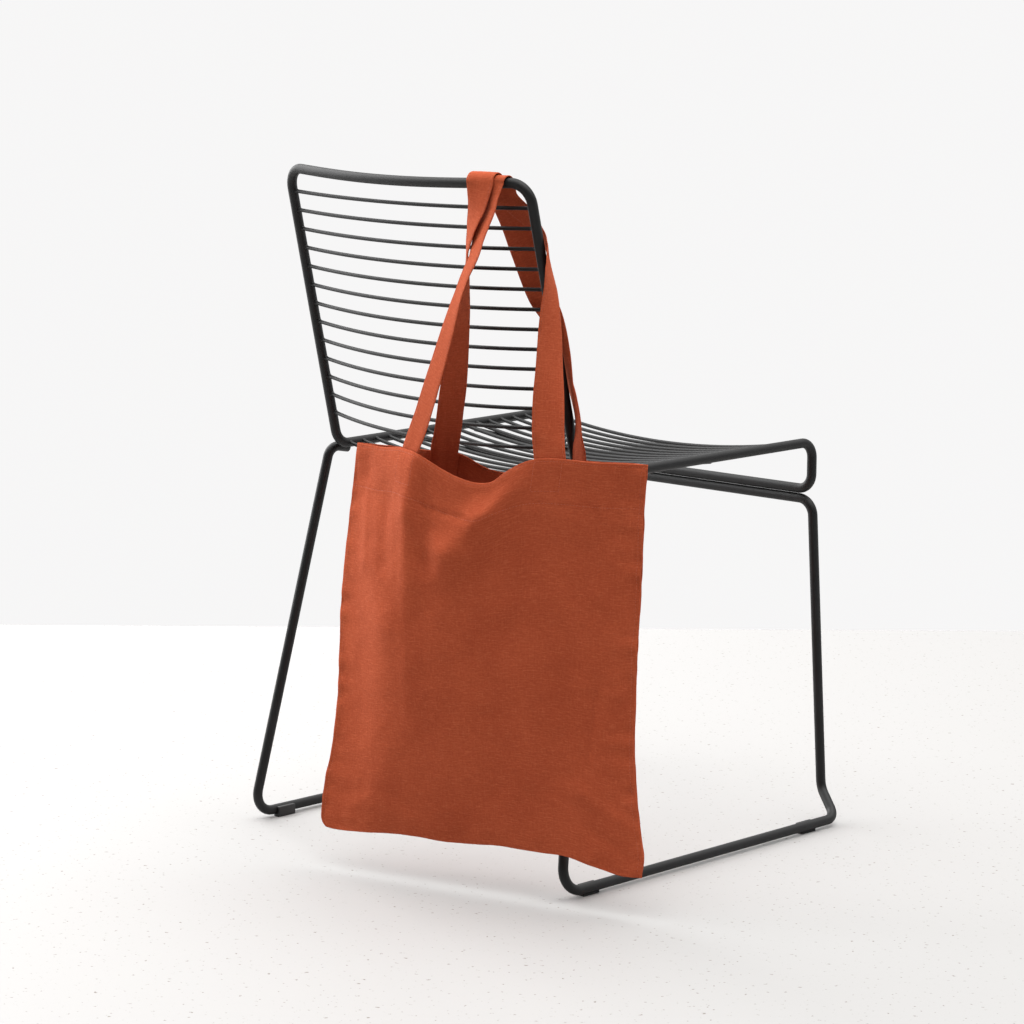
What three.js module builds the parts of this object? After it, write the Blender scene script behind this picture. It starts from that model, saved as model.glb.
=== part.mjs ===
// A linen shopping bag hanging by its two handles from the corner of a wire chair's back.
// Millimetres. +Z is up, +X is the side that the bag hangs on, +Y is the way a sitter faces.

import * as THREE from 'three';

// Driving dimensions: the bag

const BAG_WIDTH = 410;
const BAG_DEPTH = 440;
const PANEL_THICKNESS = 1.6;
const SEAM_GAP = 0.6;
const STRAP_WIDTH = 35;
const STRAP_THICKNESS = 1.8;
const STRAP_GAP = 0.8;
const STRAP_STEP = 12;
const BAG_TURN = THREE.MathUtils.degToRad(13.2);
const FRONT_PUFF = 27;
const BACK_PUFF = 9;
const LIP_REACH = 1.3;
const LIP_REACH_DOWN = 3.2;
const SIDE_HOLD = 14;
const END_HOLD = 22;
const DOME_LEAN = 0.88;
const DOME_FULLNESS = 0.7;

// Driving dimensions: the chair

const TUBE_RADIUS = 5.75;
const TUBE_SIDES = 10;
const WELD_GAP = 0.45;
const TOP = { x: 190.7, y: -79.6, z: 784.5 };
const JUNCTION = { x: 193.8, y: 0, z: 454.4 };
const SEAT_FRONT = { x: 203.6, y: 398.4, z: 458.7 };
const LOWER_BAR_Z = 400.9;
const TOP_BEND = 25;
const JUNCTION_BEND = 22;
const FRONT_BEND = 19;
const RAIL_BOW = 21.7;
const RAIL_BOW_SHAPE = 1.25;
const RAIL_BOW_STEPS = 14;
const BACK_BOW_FIRST = 14.5;
const BACK_BOW_STEP = 1.35;
const BACK_ROD_COUNT = 13;
const BACK_ROD_TOP_Z = 756.9;
const BACK_ROD_PITCH = 21.95;
const BACK_ROD_DROP = 0.36;
const ROD_RADIUS = 2.2;
const ROD_SIDES = 6;
const ROD_STEPS = 8;
const SEAT_ROD_COUNT = 17;
const SEAT_ROD_FIRST_Y = 16;
const SEAT_ROD_PITCH = 22;
const SEAT_SAG = 18.5;
const BRACE_RADIUS = 2.8;
const BRACE_STEPS = 12;
const BRACE_END_INSET = 3;
const GLIDE_LENGTH = 26;
const GLIDE_WALL = 2.6;
const GLIDE_RISE = 4;
const GLIDE_OUTER = 1.5;
const GLIDE_GAP = 0.45;
const GLIDE_STEPS = 8;

// Where the bag's cloth lies. Each row of a table is one station along an edge.
// Lips: [distance along the cloth, x, y, z]

const FRONT_LIP = [
  [0, -34, -119, 484],
  [28, -5.2, -126.2, 485.1],
  [58, 22.1, -133, 486.2],
  [95, 58.2, -142, 490.2],
  [112.5, 75, -146, 489.8],
  [130, 92.3, -149.9, 488],
  [152, 112.2, -143.4, 477.6],
  [170, 125.6, -139.1, 471],
  [186, 139, -134.8, 465.7],
  [205, 156.3, -129.2, 461.3],
  [219, 169.5, -124.9, 461.1],
  [232, 180.6, -121.3, 463.8],
  [248, 194.9, -116.7, 474.9],
  [265, 210.6, -111.6, 484.8],
  [280, 226, -106.6, 491],
  [297.5, 242.5, -98.5, 493.3],
  [315, 258.6, -90.3, 493],
  [353, 289.8, -70.1, 490.5],
  [384, 313, -54, 490.2],
  [410, 329, -38, 489],
];
const BACK_LIP = [
  [0, -34, -119, 484],
  [50, 14, -107.5, 483.5],
  [95, 58.3, -96.7, 482.4],
  [112.5, 63.5, -80, 480.5],
  [130, 68, -63, 476.8],
  [148, 81.2, -58.5, 472.1],
  [167, 99, -52.3, 463.2],
  [186, 118, -45.8, 459.2],
  [205, 136, -39.5, 458.5],
  [224, 155, -33, 461],
  [243, 173, -26.5, 466],
  [262, 188, -21, 473],
  [280, 202.2, -17, 479.5],
  [297.5, 218, -24, 482],
  [315, 234.5, -30.5, 482.5],
  [345, 262, -31, 484],
  [380, 297, -30.5, 486.5],
  [410, 329, -38, 489],
];

// Side seams and bottom seam: [share of the way, x, y, z]

const LEFT_SEAM = [
  [0, -34, -119, 484],
  [0.11, -37.2, -123.9, 435.5],
  [0.41, -41.3, -138.1, 306],
  [0.535, -39, -143.4, 249.4],
  [0.665, -36.9, -148.7, 192.6],
  [0.795, -40.2, -155.3, 135.1],
  [0.875, -45.7, -160.2, 100],
  [0.965, -47.5, -164.7, 60.3],
  [0.985, -45.4, -164.9, 52.5],
  [1, -40.2, -164.6, 47],
];
const RIGHT_SEAM = [
  [0, 329, -38, 489],
  [0.1, 325.5, -38.4, 445],
  [0.17, 326.7, -40.8, 413.8],
  [0.33, 329.4, -47.3, 344.1],
  [0.45, 330.6, -52.5, 290.2],
  [0.57, 333.2, -57.4, 236.4],
  [0.69, 336.6, -62.1, 182.6],
  [0.81, 344.3, -65.7, 129.2],
  [0.875, 349.8, -67.3, 101.7],
  [0.92, 354.6, -68.2, 81.7],
  [0.96, 357.9, -69, 65.8],
  [1, 357.1, -71.2, 45.5],
];
const BOTTOM_SEAM = [
  [0, -40.2, -164.6, 47],
  [0.03, -30, -162, 45.4],
  [0.14, 12, -152, 47.4],
  [0.21, 38.7, -145.5, 50.1],
  [0.3, 75.7, -136.6, 52],
  [0.4, 115.2, -127.5, 51.2],
  [0.49, 151.7, -118.6, 53.6],
  [0.57, 182.9, -111, 56],
  [0.645, 213.5, -103.9, 55.8],
  [0.7, 236.3, -98.6, 55.6],
  [0.757, 258.7, -93.3, 56.2],
  [0.787, 271.3, -90.4, 55],
  [0.835, 290.3, -86.4, 51.2],
  [0.88, 309.2, -82.3, 47.8],
  [0.943, 334.1, -76.9, 44],
  [1, 357.1, -71.2, 45.5],
];

// How far a panel stands out across its width, as a share of its puff: [share across, out]

const FRONT_PUFF_SHAPE = [
  [0, 0],
  [0.04, 0.06],
  [0.08, 0.2],
  [0.13, 0.44],
  [0.2, 0.71],
  [0.28, 0.9],
  [0.36, 0.98],
  [0.45, 0.95],
  [0.55, 0.82],
  [0.65, 0.65],
  [0.8, 0.38],
  [0.9, 0.2],
  [1, 0],
];
const BACK_PUFF_SHAPE = [
  [0, 0],
  [0.15, 0.6],
  [0.5, 1],
  [0.85, 0.6],
  [1, 0],
];

// Main folds of the two panels, each along a straight line on the flat cloth:
// [from across, from down, to across, to down, half width, height]

const FRONT_FOLDS = [
  [26, 18, 30, 26, 13, -4.5],
  [32, 50, 44, 130, 10, 2],
  [78, 44, 88, 126, 13, -2.6],
  [110, 20, 122, 60, 11, 2.4],
  [122, 60, 138, 140, 13, 3.4],
  [152, 20, 154, 110, 13, -5.5],
  [154, 110, 150, 170, 16, -3],
  [262, 26, 226, 46, 17, 6],
  [226, 46, 192, 96, 20, 9.5],
  [192, 96, 180, 116, 18, 5],
  [60, 140, 96, 200, 22, 2],
  [96, 200, 96, 370, 28, 2.4],
  [240, 55, 402, 50, 22, 2.8],
  [130, 62, 240, 57, 22, 2.2],
  [22, 48, 86, 60, 24, -3.2],
  [158, 92, 210, 90, 15, 2.6],
  [12, 402, 60, 390, 10, -2],
  [400, 424, 352, 402, 10, -2.6],
  [396, 384, 340, 360, 12, 2],
];
const BACK_FOLDS = [
  [112, 5, 106, 140, 14, 3.5],
  [205, 20, 190, 220, 34, -3],
  [298, 10, 280, 150, 20, 3],
  [60, 200, 70, 380, 30, 2.5],
  [340, 220, 350, 400, 30, 2.5],
];

// Columns and rows of the panels' cloth, at distances that fit the handles and the hem

const MARGIN = 95;
const MARGIN_COLUMNS = 8;
const MIDDLE_COLUMNS = 11;
const COLUMN_WIDTHS = [
  ...Array(MARGIN_COLUMNS).fill(MARGIN / MARGIN_COLUMNS),
  ...Array(2).fill(STRAP_WIDTH / 2),
  ...Array(MIDDLE_COLUMNS).fill((BAG_WIDTH - 2 * MARGIN - 2 * STRAP_WIDTH) / MIDDLE_COLUMNS),
  ...Array(2).fill(STRAP_WIDTH / 2),
  ...Array(MARGIN_COLUMNS).fill(MARGIN / MARGIN_COLUMNS),
];
const HEM = 50;
const HEM_ROWS = [0, 13, 26, 38, HEM];
const LOWER_ROWS = 23;
const FOOT_ROWS = 4;
const LEFT_FOOT_COLUMNS = [0, 1, 2].map((k) => MARGIN_COLUMNS + k);
const RIGHT_FOOT_COLUMNS = [2, 3, 4].map((k) => MARGIN_COLUMNS + MIDDLE_COLUMNS + k);

// Handles, from the left foot upwards to the top rail, and from there down to the right foot:
// [x, y, z, direction across the strap in degrees from +X]

const FRONT_HANDLE_UP = [
  [91, -143, 525, -15],
  [103.3, -139, 564.1, -17],
  [119.5, -132, 621.8, -23],
  [128.9, -126, 659.7, -31],
  [136.6, -121.3, 684.8, -32],
  [145.1, -116.8, 706, -30],
  [144.6, -110.3, 721.3, -27],
  [145, -105, 735, -23],
  [148.9, -99, 754.3, -21],
  [147.6, -96.2, 767.9, -10],
];
const FRONT_HANDLE_DOWN = [
  [150, -72.5, 768, 4],
  [161, -61.5, 752, 2],
  [170, -54, 741, -8],
  [181, -47.5, 727, -32],
  [189.5, -49, 713.5, -42],
  [197, -54, 702, -48],
  [203.9, -59.5, 690, -56],
  [209.2, -64.2, 678.1, -65],
  [212, -67.2, 653.6, -81],
  [215.4, -71, 624.9, -93],
  [222.2, -79, 582.7, -105],
  [231, -89.4, 541, -130],
  [236.5, -95, 515, -140],
];
const BACK_HANDLE_UP = [
  [73.2, -80, 527.3, -104],
  [78, -80, 555.7, -103],
  [88.5, -83, 614.4, -88],
  [98.1, -86, 651.6, -69.5],
  [103.5, -87.5, 677.3, -57],
  [110.2, -92.7, 701.1, -46],
  [116.4, -97.9, 716.1, -41],
  [124, -101.8, 731, -32],
  [130.3, -101, 751, -18],
  [134.5, -101, 765.4, -6],
];
const BACK_HANDLE_DOWN = [
  [132, -66.9, 767.5, 6],
  [132.8, -53.6, 750, 5],
  [138.8, -45.6, 730, 9],
  [151.3, -42.3, 705, 16],
  [164.9, -41.3, 677.5, 16],
  [176.2, -40.3, 655, 8],
  [185.2, -36, 636.6, 0],
  [189.8, -26.8, 603, -11],
  [195.8, -18.2, 565, -33],
  [205.8, -20.5, 545, -37],
  [213.4, -23.2, 525, -38],
  [216, -24.8, 505, -35],
];

// Straps over the top rail: x on the bag's side, x on the sitter's side, distance from the tube's centre

const FRONT_OVER_RAIL = { bagX: 147, seatX: 148, reach: 7.8, turn: 9.5 };
const BACK_OVER_RAIL = { bagX: 136.5, seatX: 131, reach: 11.6, turn: 9.5 };
const RAIL_ANGLES = [175, 150, 120, 90, 60, 30, 5];

// Base: bends of one leg, from the rear leg's top to the bar under the seat: [x, y, z, bend]

const BASE_BENDS = [
  [203.8, 25, 447.3, 0],
  [205.7, -1.5, 452, 14],
  [252.8, -85.5, 8.5, 26],
  [251.5, 396.4, 8.5, 22],
  [216.6, 412.3, 37.5, 20],
  [205.4, 398.4, 389.1, 20],
];

// Seat braces, which run under the seat rods: [y at the ends, y in the middle]

const BRACES = [
  [130, 165],
  [228, 262],
];

// Glides: [side, front or rear, y of the middle]

const GLIDES = [
  ['left', 'rear', -38],
  ['right', 'rear', -38],
  ['left', 'front', 345],
  ['right', 'front', 345],
];

// Materials

const linen = () => new THREE.MeshStandardMaterial({ color: 0xb3543a, roughness: 0.92, metalness: 0 });
const linenStrap = () => new THREE.MeshStandardMaterial({ color: 0xb8593d, roughness: 0.92, metalness: 0 });
const powderCoat = () => new THREE.MeshStandardMaterial({ color: 0x17181a, roughness: 0.48, metalness: 0.1 });
const glidePlastic = () => new THREE.MeshStandardMaterial({ color: 0x1c1c1d, roughness: 0.6, metalness: 0 });

// Small mathematics

const vector = (p) => new THREE.Vector3(p[0], p[1], p[2]);
const mix = (a, b, t) => a.clone().lerp(b, t);

// Smooth curve through a table's rows at a key of its first column: a number, or a point from x, y and z.
function sample(table, key) {
  const last = table.length - 1;
  let i = 0;
  while (i < last - 1 && key > table[i + 1][0]) i += 1;
  const slope = (k, c) => {
    const a = Math.max(k - 1, 0);
    const b = Math.min(k + 1, last);
    return (table[b][c] - table[a][c]) / (table[b][0] - table[a][0]);
  };
  const span = table[i + 1][0] - table[i][0];
  const t = Math.min(Math.max((key - table[i][0]) / span, 0), 1);
  const value = (c) => {
    const from = (1 + 2 * t) * (1 - t) ** 2 * table[i][c];
    const to = t * t * (3 - 2 * t) * table[i + 1][c];
    const leaving = t * (1 - t) ** 2 * slope(i, c);
    const arriving = t * t * (t - 1) * slope(i + 1, c);
    return from + to + span * (leaving + arriving);
  };
  return table[0].length > 2 ? new THREE.Vector3(value(1), value(2), value(3)) : value(1);
}

// A curve that passes straight from point to point, one step for each, so that sections land on the points.
class Route extends THREE.Curve {
  constructor(points, closed = false) {
    super();
    this.points = points;
    this.closed = closed;
    this.steps = closed ? points.length : points.length - 1;
  }

  getPoint(t) {
    const s = Math.min(Math.max(t, 0), 1) * this.steps;
    const i = Math.min(Math.floor(s + 1e-9), this.steps - 1);
    const next = this.points[(i + 1) % this.points.length];
    return mix(this.points[i], next, s - i);
  }

  getPointAt(t) {
    return this.getPoint(t);
  }

  getTangentAt(t) {
    const n = this.points.length;
    const i = Math.round(t * this.steps);
    const wrap = (k) => (this.closed ? (k + n) % n : Math.min(Math.max(k, 0), n - 1));
    const here = this.points[wrap(i)];
    const before = here.clone().sub(this.points[wrap(i - 1)]).normalize();
    const after = this.points[wrap(i + 1)].clone().sub(here).normalize();
    return before.add(after).normalize();
  }

  getTangent(t) {
    return this.getTangentAt(t);
  }
}

// Points of a bent tube's centre line through corners that each have a bend radius.
function bentLine(corners, closed) {
  const points = [];
  const count = corners.length;
  corners.forEach((corner, i) => {
    const here = vector(corner);
    const radius = corner[3];
    if (!radius) {
      points.push(here);
      return;
    }
    const towards = vector(corners[(i + count - 1) % count]).sub(here).normalize();
    const away = vector(corners[(i + 1) % count]).sub(here).normalize();
    const half = towards.angleTo(away) / 2;
    const reach = radius / Math.tan(half);
    const middle = towards.clone().add(away).normalize();
    const centre = here.clone().addScaledVector(middle, radius / Math.sin(half));
    const start = here.clone().addScaledVector(towards, reach).sub(centre);
    const end = here.clone().addScaledVector(away, reach).sub(centre);
    const sweep = start.angleTo(end);
    const axis = start.clone().cross(end).normalize();
    const steps = Math.max(3, Math.ceil(sweep / 0.27));
    for (let k = 0; k <= steps; k += 1) {
      points.push(start.clone().applyAxisAngle(axis, (sweep * k) / steps).add(centre));
    }
  });
  return closed ? points : points.filter((p, i) => i === 0 || p.distanceTo(points[i - 1]) > 0.5);
}

// A regular polygon as a section, with its corners on the radius.
function roundSection(radius, sides) {
  const corners = [];
  for (let k = 0; k < sides; k += 1) {
    const angle = (2 * Math.PI * k) / sides;
    corners.push(new THREE.Vector2(radius * Math.cos(angle), radius * Math.sin(angle)));
  }
  return new THREE.Shape(corners);
}

// An open tube or rod with flat ends.
function openTube(points, radius, sides) {
  const path = new Route(points);
  return new THREE.ExtrudeGeometry(roundSection(radius, sides), {
    steps: path.steps,
    bevelEnabled: false,
    extrudePath: path,
  });
}

// A closed sheet of even thickness about a grid of points, rows by columns.
function sheet(grid, thickness) {
  const rows = grid.length;
  const columns = grid[0].length;
  const normals = gridNormals(grid);
  const positions = [];
  [1, -1].forEach((side) => {
    grid.forEach((row, j) => {
      row.forEach((point, i) => {
        const moved = point.clone().addScaledVector(normals[j][i], (side * thickness) / 2);
        positions.push(moved.x, moved.y, moved.z);
      });
    });
  });
  const at = (j, i) => j * columns + i;
  const under = rows * columns;
  const faces = [];
  const quad = (a, b, c, d) => faces.push(a, b, c, a, c, d);
  for (let j = 0; j < rows - 1; j += 1) {
    for (let i = 0; i < columns - 1; i += 1) {
      quad(at(j, i), at(j + 1, i), at(j + 1, i + 1), at(j, i + 1));
      quad(under + at(j, i), under + at(j, i + 1), under + at(j + 1, i + 1), under + at(j + 1, i));
    }
  }
  const rim = [];
  for (let i = 0; i < columns - 1; i += 1) rim.push(at(0, i));
  for (let j = 0; j < rows - 1; j += 1) rim.push(at(j, columns - 1));
  for (let i = columns - 1; i > 0; i -= 1) rim.push(at(rows - 1, i));
  for (let j = rows - 1; j > 0; j -= 1) rim.push(at(j, 0));
  rim.forEach((a, k) => {
    const b = rim[(k + 1) % rim.length];
    quad(a, b, under + b, under + a);
  });
  const geometry = new THREE.BufferGeometry();
  geometry.setAttribute('position', new THREE.Float32BufferAttribute(positions, 3));
  geometry.setIndex(faces);
  geometry.computeVertexNormals();
  return geometry;
}

// Unit normals of a grid of points: down the grid crossed with along it.
function gridNormals(grid) {
  const rows = grid.length;
  const columns = grid[0].length;
  return grid.map((row, j) => row.map((point, i) => {
    const along = grid[j][Math.min(i + 1, columns - 1)].clone().sub(grid[j][Math.max(i - 1, 0)]);
    const down = grid[Math.min(j + 1, rows - 1)][i].clone().sub(grid[Math.max(j - 1, 0)][i]);
    return down.cross(along).normalize();
  }));
}

// The bag's panels

// Outward direction of the front panel, square to the line between the top corners.
const OUTWARD = new THREE.Vector3(Math.sin(BAG_TURN), -Math.cos(BAG_TURN), 0);

// The smooth surface between the four seams, which both panels start from.
function middleSurface(u, t) {
  const corner = [sample(LEFT_SEAM, 0), sample(RIGHT_SEAM, 0), sample(LEFT_SEAM, 1), sample(RIGHT_SEAM, 1)];
  const top = mix(corner[0], corner[1], u);
  const bottom = sample(BOTTOM_SEAM, u);
  const across = mix(sample(LEFT_SEAM, t), sample(RIGHT_SEAM, t), u);
  const upDown = mix(top, bottom, t);
  const flat = mix(mix(corner[0], corner[1], u), mix(corner[2], corner[3], u), t);
  return across.add(upDown).sub(flat);
}

// How free the cloth is to leave its smooth surface: nothing at its edges, 1 well inside.
function freedom(across, down) {
  const held = (distance, hold) => 1 - Math.exp(-distance / hold);
  const sides = held(across, SIDE_HOLD) * held(BAG_WIDTH - across, SIDE_HOLD);
  return sides * held(down, END_HOLD) * held(BAG_DEPTH - down, END_HOLD);
}

// Height of a panel's folds above its smooth surface, from the distance to each fold's line.
function foldHeight(folds, across, down) {
  const place = new THREE.Vector3(across, down, 0);
  const nearest = new THREE.Vector3();
  return folds.reduce((sum, [fromAcross, fromDown, toAcross, toDown, width, height]) => {
    const line = new THREE.Line3(vector([fromAcross, fromDown, 0]), vector([toAcross, toDown, 0]));
    line.closestPointToPoint(place, true, nearest);
    return sum + height * Math.exp(-((nearest.distanceTo(place) / width) ** 2));
  }, 0);
}

// A point of the front (side +1) or back (side -1) panel's middle surface.
function panelPoint(side, u, t) {
  const front = side > 0;
  const offset = sample(front ? FRONT_LIP : BACK_LIP, u * BAG_WIDTH).sub(middleSurface(u, 0));
  offset.x *= (1 - t) ** LIP_REACH;
  offset.y *= (1 - t) ** LIP_REACH;
  offset.z *= (1 - t) ** LIP_REACH_DOWN;
  const dome = Math.abs(Math.sin(Math.PI * t ** DOME_LEAN)) ** DOME_FULLNESS;
  const height = front ? FRONT_PUFF : BACK_PUFF;
  const puff = dome * height * sample(front ? FRONT_PUFF_SHAPE : BACK_PUFF_SHAPE, u);
  const [across, down] = [u * BAG_WIDTH, t * BAG_DEPTH];
  const fold = foldHeight(front ? FRONT_FOLDS : BACK_FOLDS, across, down) * freedom(across, down);
  const out = (PANEL_THICKNESS + SEAM_GAP) / 2 + puff + fold;
  return middleSurface(u, t).add(offset).addScaledVector(OUTWARD, side * out);
}

// Distances along a side, summed from a list of widths.
function stations(widths) {
  const list = [0];
  widths.forEach((width) => list.push(list[list.length - 1] + width));
  return list;
}

// Grid of one panel, from the lip down and from left to right.
function panelGrid(side) {
  const columns = stations(COLUMN_WIDTHS).map((s) => s / BAG_WIDTH);
  const rows = [...HEM_ROWS];
  for (let k = 1; k <= LOWER_ROWS; k += 1) rows.push(HEM + ((BAG_DEPTH - HEM) * k) / LOWER_ROWS);
  return rows.map((h) => columns.map((u) => panelPoint(side, u, h / BAG_DEPTH)));
}

// The handles

const RAIL_DIRECTION = vector([0, TOP.y - JUNCTION.y, TOP.z - JUNCTION.z]).normalize();
const BOW_DIRECTION = new THREE.Vector3(0, -RAIL_DIRECTION.z, RAIL_DIRECTION.y);

// How far the top rail is bowed at x.
function railBow(x) {
  return RAIL_BOW * Math.max(0, 1 - (x / TOP.x) ** 2) ** RAIL_BOW_SHAPE;
}

// Centre of the top rail at x.
function railCentre(x) {
  return new THREE.Vector3(x, TOP.y, TOP.z).addScaledVector(BOW_DIRECTION, railBow(x));
}

// Rows of a strap where it lies over the top rail.
function overRail({ bagX, seatX, reach, turn }) {
  return RAIL_ANGLES.map((angle, k) => {
    const x = bagX + ((seatX - bagX) * k) / (RAIL_ANGLES.length - 1);
    const centre = railCentre(x);
    const around = THREE.MathUtils.degToRad(angle);
    return [x, centre.y + reach * Math.cos(around), centre.z + reach * Math.sin(around), turn];
  });
}

// Rows of a strap's foot, three points across, on the inside of a panel's hem.
function footRows(grid, side, columns) {
  const normals = gridNormals(grid);
  const inwards = -side * ((PANEL_THICKNESS + STRAP_THICKNESS) / 2 + STRAP_GAP);
  const rows = [];
  for (let j = 0; j < FOOT_ROWS; j += 1) {
    rows.push(columns.map((i) => grid[j][i].clone().addScaledVector(normals[j][i], inwards)));
  }
  return rows;
}

// Three points across the strap at a row of a handle's table, square to the way the strap runs.
function strapAcross(centre, angle, run) {
  const turn = THREE.MathUtils.degToRad(angle);
  const level = new THREE.Vector3(Math.cos(turn), Math.sin(turn), 0);
  const across = level.addScaledVector(run, -level.dot(run)).normalize();
  return [-0.5, 0, 0.5].map((s) => centre.clone().addScaledVector(across, s * STRAP_WIDTH));
}

// Free length of a strap between its feet, as rows of three points, evenly spaced along smooth curves.
function strapRows(table, before, after) {
  const centres = [before[1], ...table.map(vector), after[1]];
  const angleOf = (row) => THREE.MathUtils.radToDeg(Math.atan2(row[2].y - row[0].y, row[2].x - row[0].x));
  const angles = [angleOf(before), ...table.map((row) => row[3]), angleOf(after)];
  for (let k = 1; k < angles.length; k += 1) {
    while (angles[k] - angles[k - 1] > 180) angles[k] -= 360;
    while (angles[k] - angles[k - 1] < -180) angles[k] += 360;
  }
  const curve = new THREE.CatmullRomCurve3(centres, false, 'centripetal');
  const turning = new THREE.CatmullRomCurve3(
    angles.map((angle, k) => new THREE.Vector3(k, angle, 0)),
    false,
    'catmullrom',
    0.5,
  );
  const rows = [];
  for (let k = 0; k < centres.length - 1; k += 1) {
    const length = centres[k].distanceTo(centres[k + 1]);
    const steps = Math.max(1, Math.round(length / STRAP_STEP));
    for (let s = 0; s < steps; s += 1) {
      if (k === 0 && s === 0) continue;
      const t = (k + s / steps) / (centres.length - 1);
      const run = curve.getTangent(t);
      rows.push(strapAcross(curve.getPoint(t), turning.getPoint(t).y, run));
    }
  }
  return rows;
}

// A whole handle, from the bottom of its left foot to the bottom of its right foot.
function handleGrid(side, up, over, down) {
  const grid = panelGrid(side);
  const left = footRows(grid, side, side > 0 ? LEFT_FOOT_COLUMNS : [...LEFT_FOOT_COLUMNS].reverse());
  const right = footRows(grid, side, side > 0 ? [...RIGHT_FOOT_COLUMNS].reverse() : RIGHT_FOOT_COLUMNS);
  const middle = strapRows([...up, ...overRail(over), ...down], left[0], right[0]);
  return [...[...left].reverse(), ...middle, ...right];
}

// The chair

function frameLoop() {
  const mirror = ([x, y, z, bend]) => [-x, y, z, bend];
  const right = [
    [SEAT_FRONT.x, SEAT_FRONT.y, LOWER_BAR_Z, FRONT_BEND],
    [SEAT_FRONT.x, SEAT_FRONT.y, SEAT_FRONT.z, FRONT_BEND],
    [JUNCTION.x, JUNCTION.y, JUNCTION.z, JUNCTION_BEND],
    [TOP.x, TOP.y, TOP.z, TOP_BEND],
  ];
  const corners = [...right, ...right.map(mirror).reverse()];
  const points = bentLine(corners, true);
  const filled = [];
  points.forEach((point, k) => {
    const next = points[(k + 1) % points.length];
    filled.push(point);
    const onTopRail = Math.min(point.z, next.z) > TOP.z - 1 && point.distanceTo(next) > TOP.x;
    const steps = onTopRail ? RAIL_BOW_STEPS : 1;
    for (let s = 1; s < steps; s += 1) filled.push(mix(point, next, s / steps));
  });
  return filled.map((point) => {
    const bowed = point.z > TOP.z - TOP_BEND - 2;
    return bowed ? point.clone().addScaledVector(BOW_DIRECTION, railBow(point.x)) : point;
  });
}

function frameTube() {
  const path = new Route(frameLoop(), true);
  return new THREE.TubeGeometry(path, path.steps, TUBE_RADIUS, TUBE_SIDES, true);
}

function baseTube() {
  const right = BASE_BENDS;
  const left = right.map(([x, y, z, bend]) => [-x, y, z, bend]).reverse();
  return openTube(bentLine([...right, ...left], false), TUBE_RADIUS, TUBE_SIDES);
}

// A rod that runs from side to side, bows in a direction by a depth, and drops a little on the bag's side.
function bowedRod(end, direction, depth, drop = 0) {
  const points = [];
  for (let k = 0; k <= ROD_STEPS; k += 1) {
    const x = -end.x + (2 * end.x * k) / ROD_STEPS;
    const bow = depth * (1 - (x / end.x) ** 2);
    const start = new THREE.Vector3(x, end.y, end.z).addScaledVector(RAIL_DIRECTION, (-drop * k) / ROD_STEPS);
    points.push(start.addScaledVector(direction, bow));
  }
  return openTube(points, ROD_RADIUS, ROD_SIDES);
}

function backRod(index) {
  const z = BACK_ROD_TOP_Z - BACK_ROD_PITCH * index;
  const share = (z - JUNCTION.z) / (TOP.z - JUNCTION.z);
  const intoBend = Math.max(0, TOP_BEND - (TOP.z - z) / RAIL_DIRECTION.z);
  const inset = TUBE_RADIUS + WELD_GAP + 0.55 * intoBend ** 2 / TOP_BEND;
  const x = JUNCTION.x + (TOP.x - JUNCTION.x) * share - inset;
  const y = JUNCTION.y + (TOP.y - JUNCTION.y) * share;
  const bow = BACK_BOW_FIRST + BACK_BOW_STEP * index;
  return bowedRod({ x, y, z }, BOW_DIRECTION, bow, BACK_ROD_DROP * index);
}

// End of a seat rod at y, where it meets the side rail.
function seatEdge(y) {
  const share = y / SEAT_FRONT.y;
  const bend = JUNCTION_BEND * 0.79;
  const rise = y < bend ? 0.5 * (bend - y) ** 2 / JUNCTION_BEND : 0;
  return {
    x: JUNCTION.x + (SEAT_FRONT.x - JUNCTION.x) * share - TUBE_RADIUS - WELD_GAP,
    y,
    z: JUNCTION.z + (SEAT_FRONT.z - JUNCTION.z) * share + rise,
  };
}

function seatRod(index) {
  const down = new THREE.Vector3(0, 0, -1);
  return bowedRod(seatEdge(SEAT_ROD_FIRST_Y + SEAT_ROD_PITCH * index), down, SEAT_SAG);
}

function brace([endY, middleY]) {
  const points = [];
  for (let k = 0; k <= BRACE_STEPS; k += 1) {
    const across = (2 * k) / BRACE_STEPS - 1;
    const y = middleY + (endY - middleY) * across ** 2;
    const edge = seatEdge(y);
    const x = (edge.x - BRACE_END_INSET) * across;
    const z = edge.z - SEAT_SAG * (1 - (x / edge.x) ** 2) - ROD_RADIUS - BRACE_RADIUS - WELD_GAP;
    points.push(new THREE.Vector3(x, y, z));
  }
  return openTube(points, BRACE_RADIUS, ROD_SIDES);
}

// A glide hugs the runner from below and from its inner side, and is flat underneath.
function glide(side, y) {
  const [footX, footY, height] = BASE_BENDS[2];
  const [frontX, frontY] = BASE_BENDS[3];
  const reach = TUBE_RADIUS + GLIDE_GAP;
  const shape = new THREE.Shape();
  shape.moveTo(-GLIDE_OUTER, -height);
  shape.lineTo(GLIDE_WALL + reach, -height);
  shape.lineTo(GLIDE_WALL + reach, GLIDE_RISE);
  const first = Math.asin(GLIDE_RISE / reach);
  const last = -Math.PI / 2 - Math.asin(GLIDE_OUTER / reach);
  for (let k = 0; k <= GLIDE_STEPS; k += 1) {
    const angle = first + ((last - first) * k) / GLIDE_STEPS;
    shape.lineTo(reach * Math.cos(angle), reach * Math.sin(angle));
  }
  const geometry = new THREE.ExtrudeGeometry(shape, { depth: GLIDE_LENGTH, steps: 1, bevelEnabled: false });
  geometry.translate(0, 0, -GLIDE_LENGTH / 2);
  geometry.rotateX(Math.PI / 2);
  if (side > 0) geometry.rotateZ(Math.PI);
  const x = footX + ((frontX - footX) * (y - footY)) / (frontY - footY);
  geometry.translate(side * x, y, height);
  return geometry;
}

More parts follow.
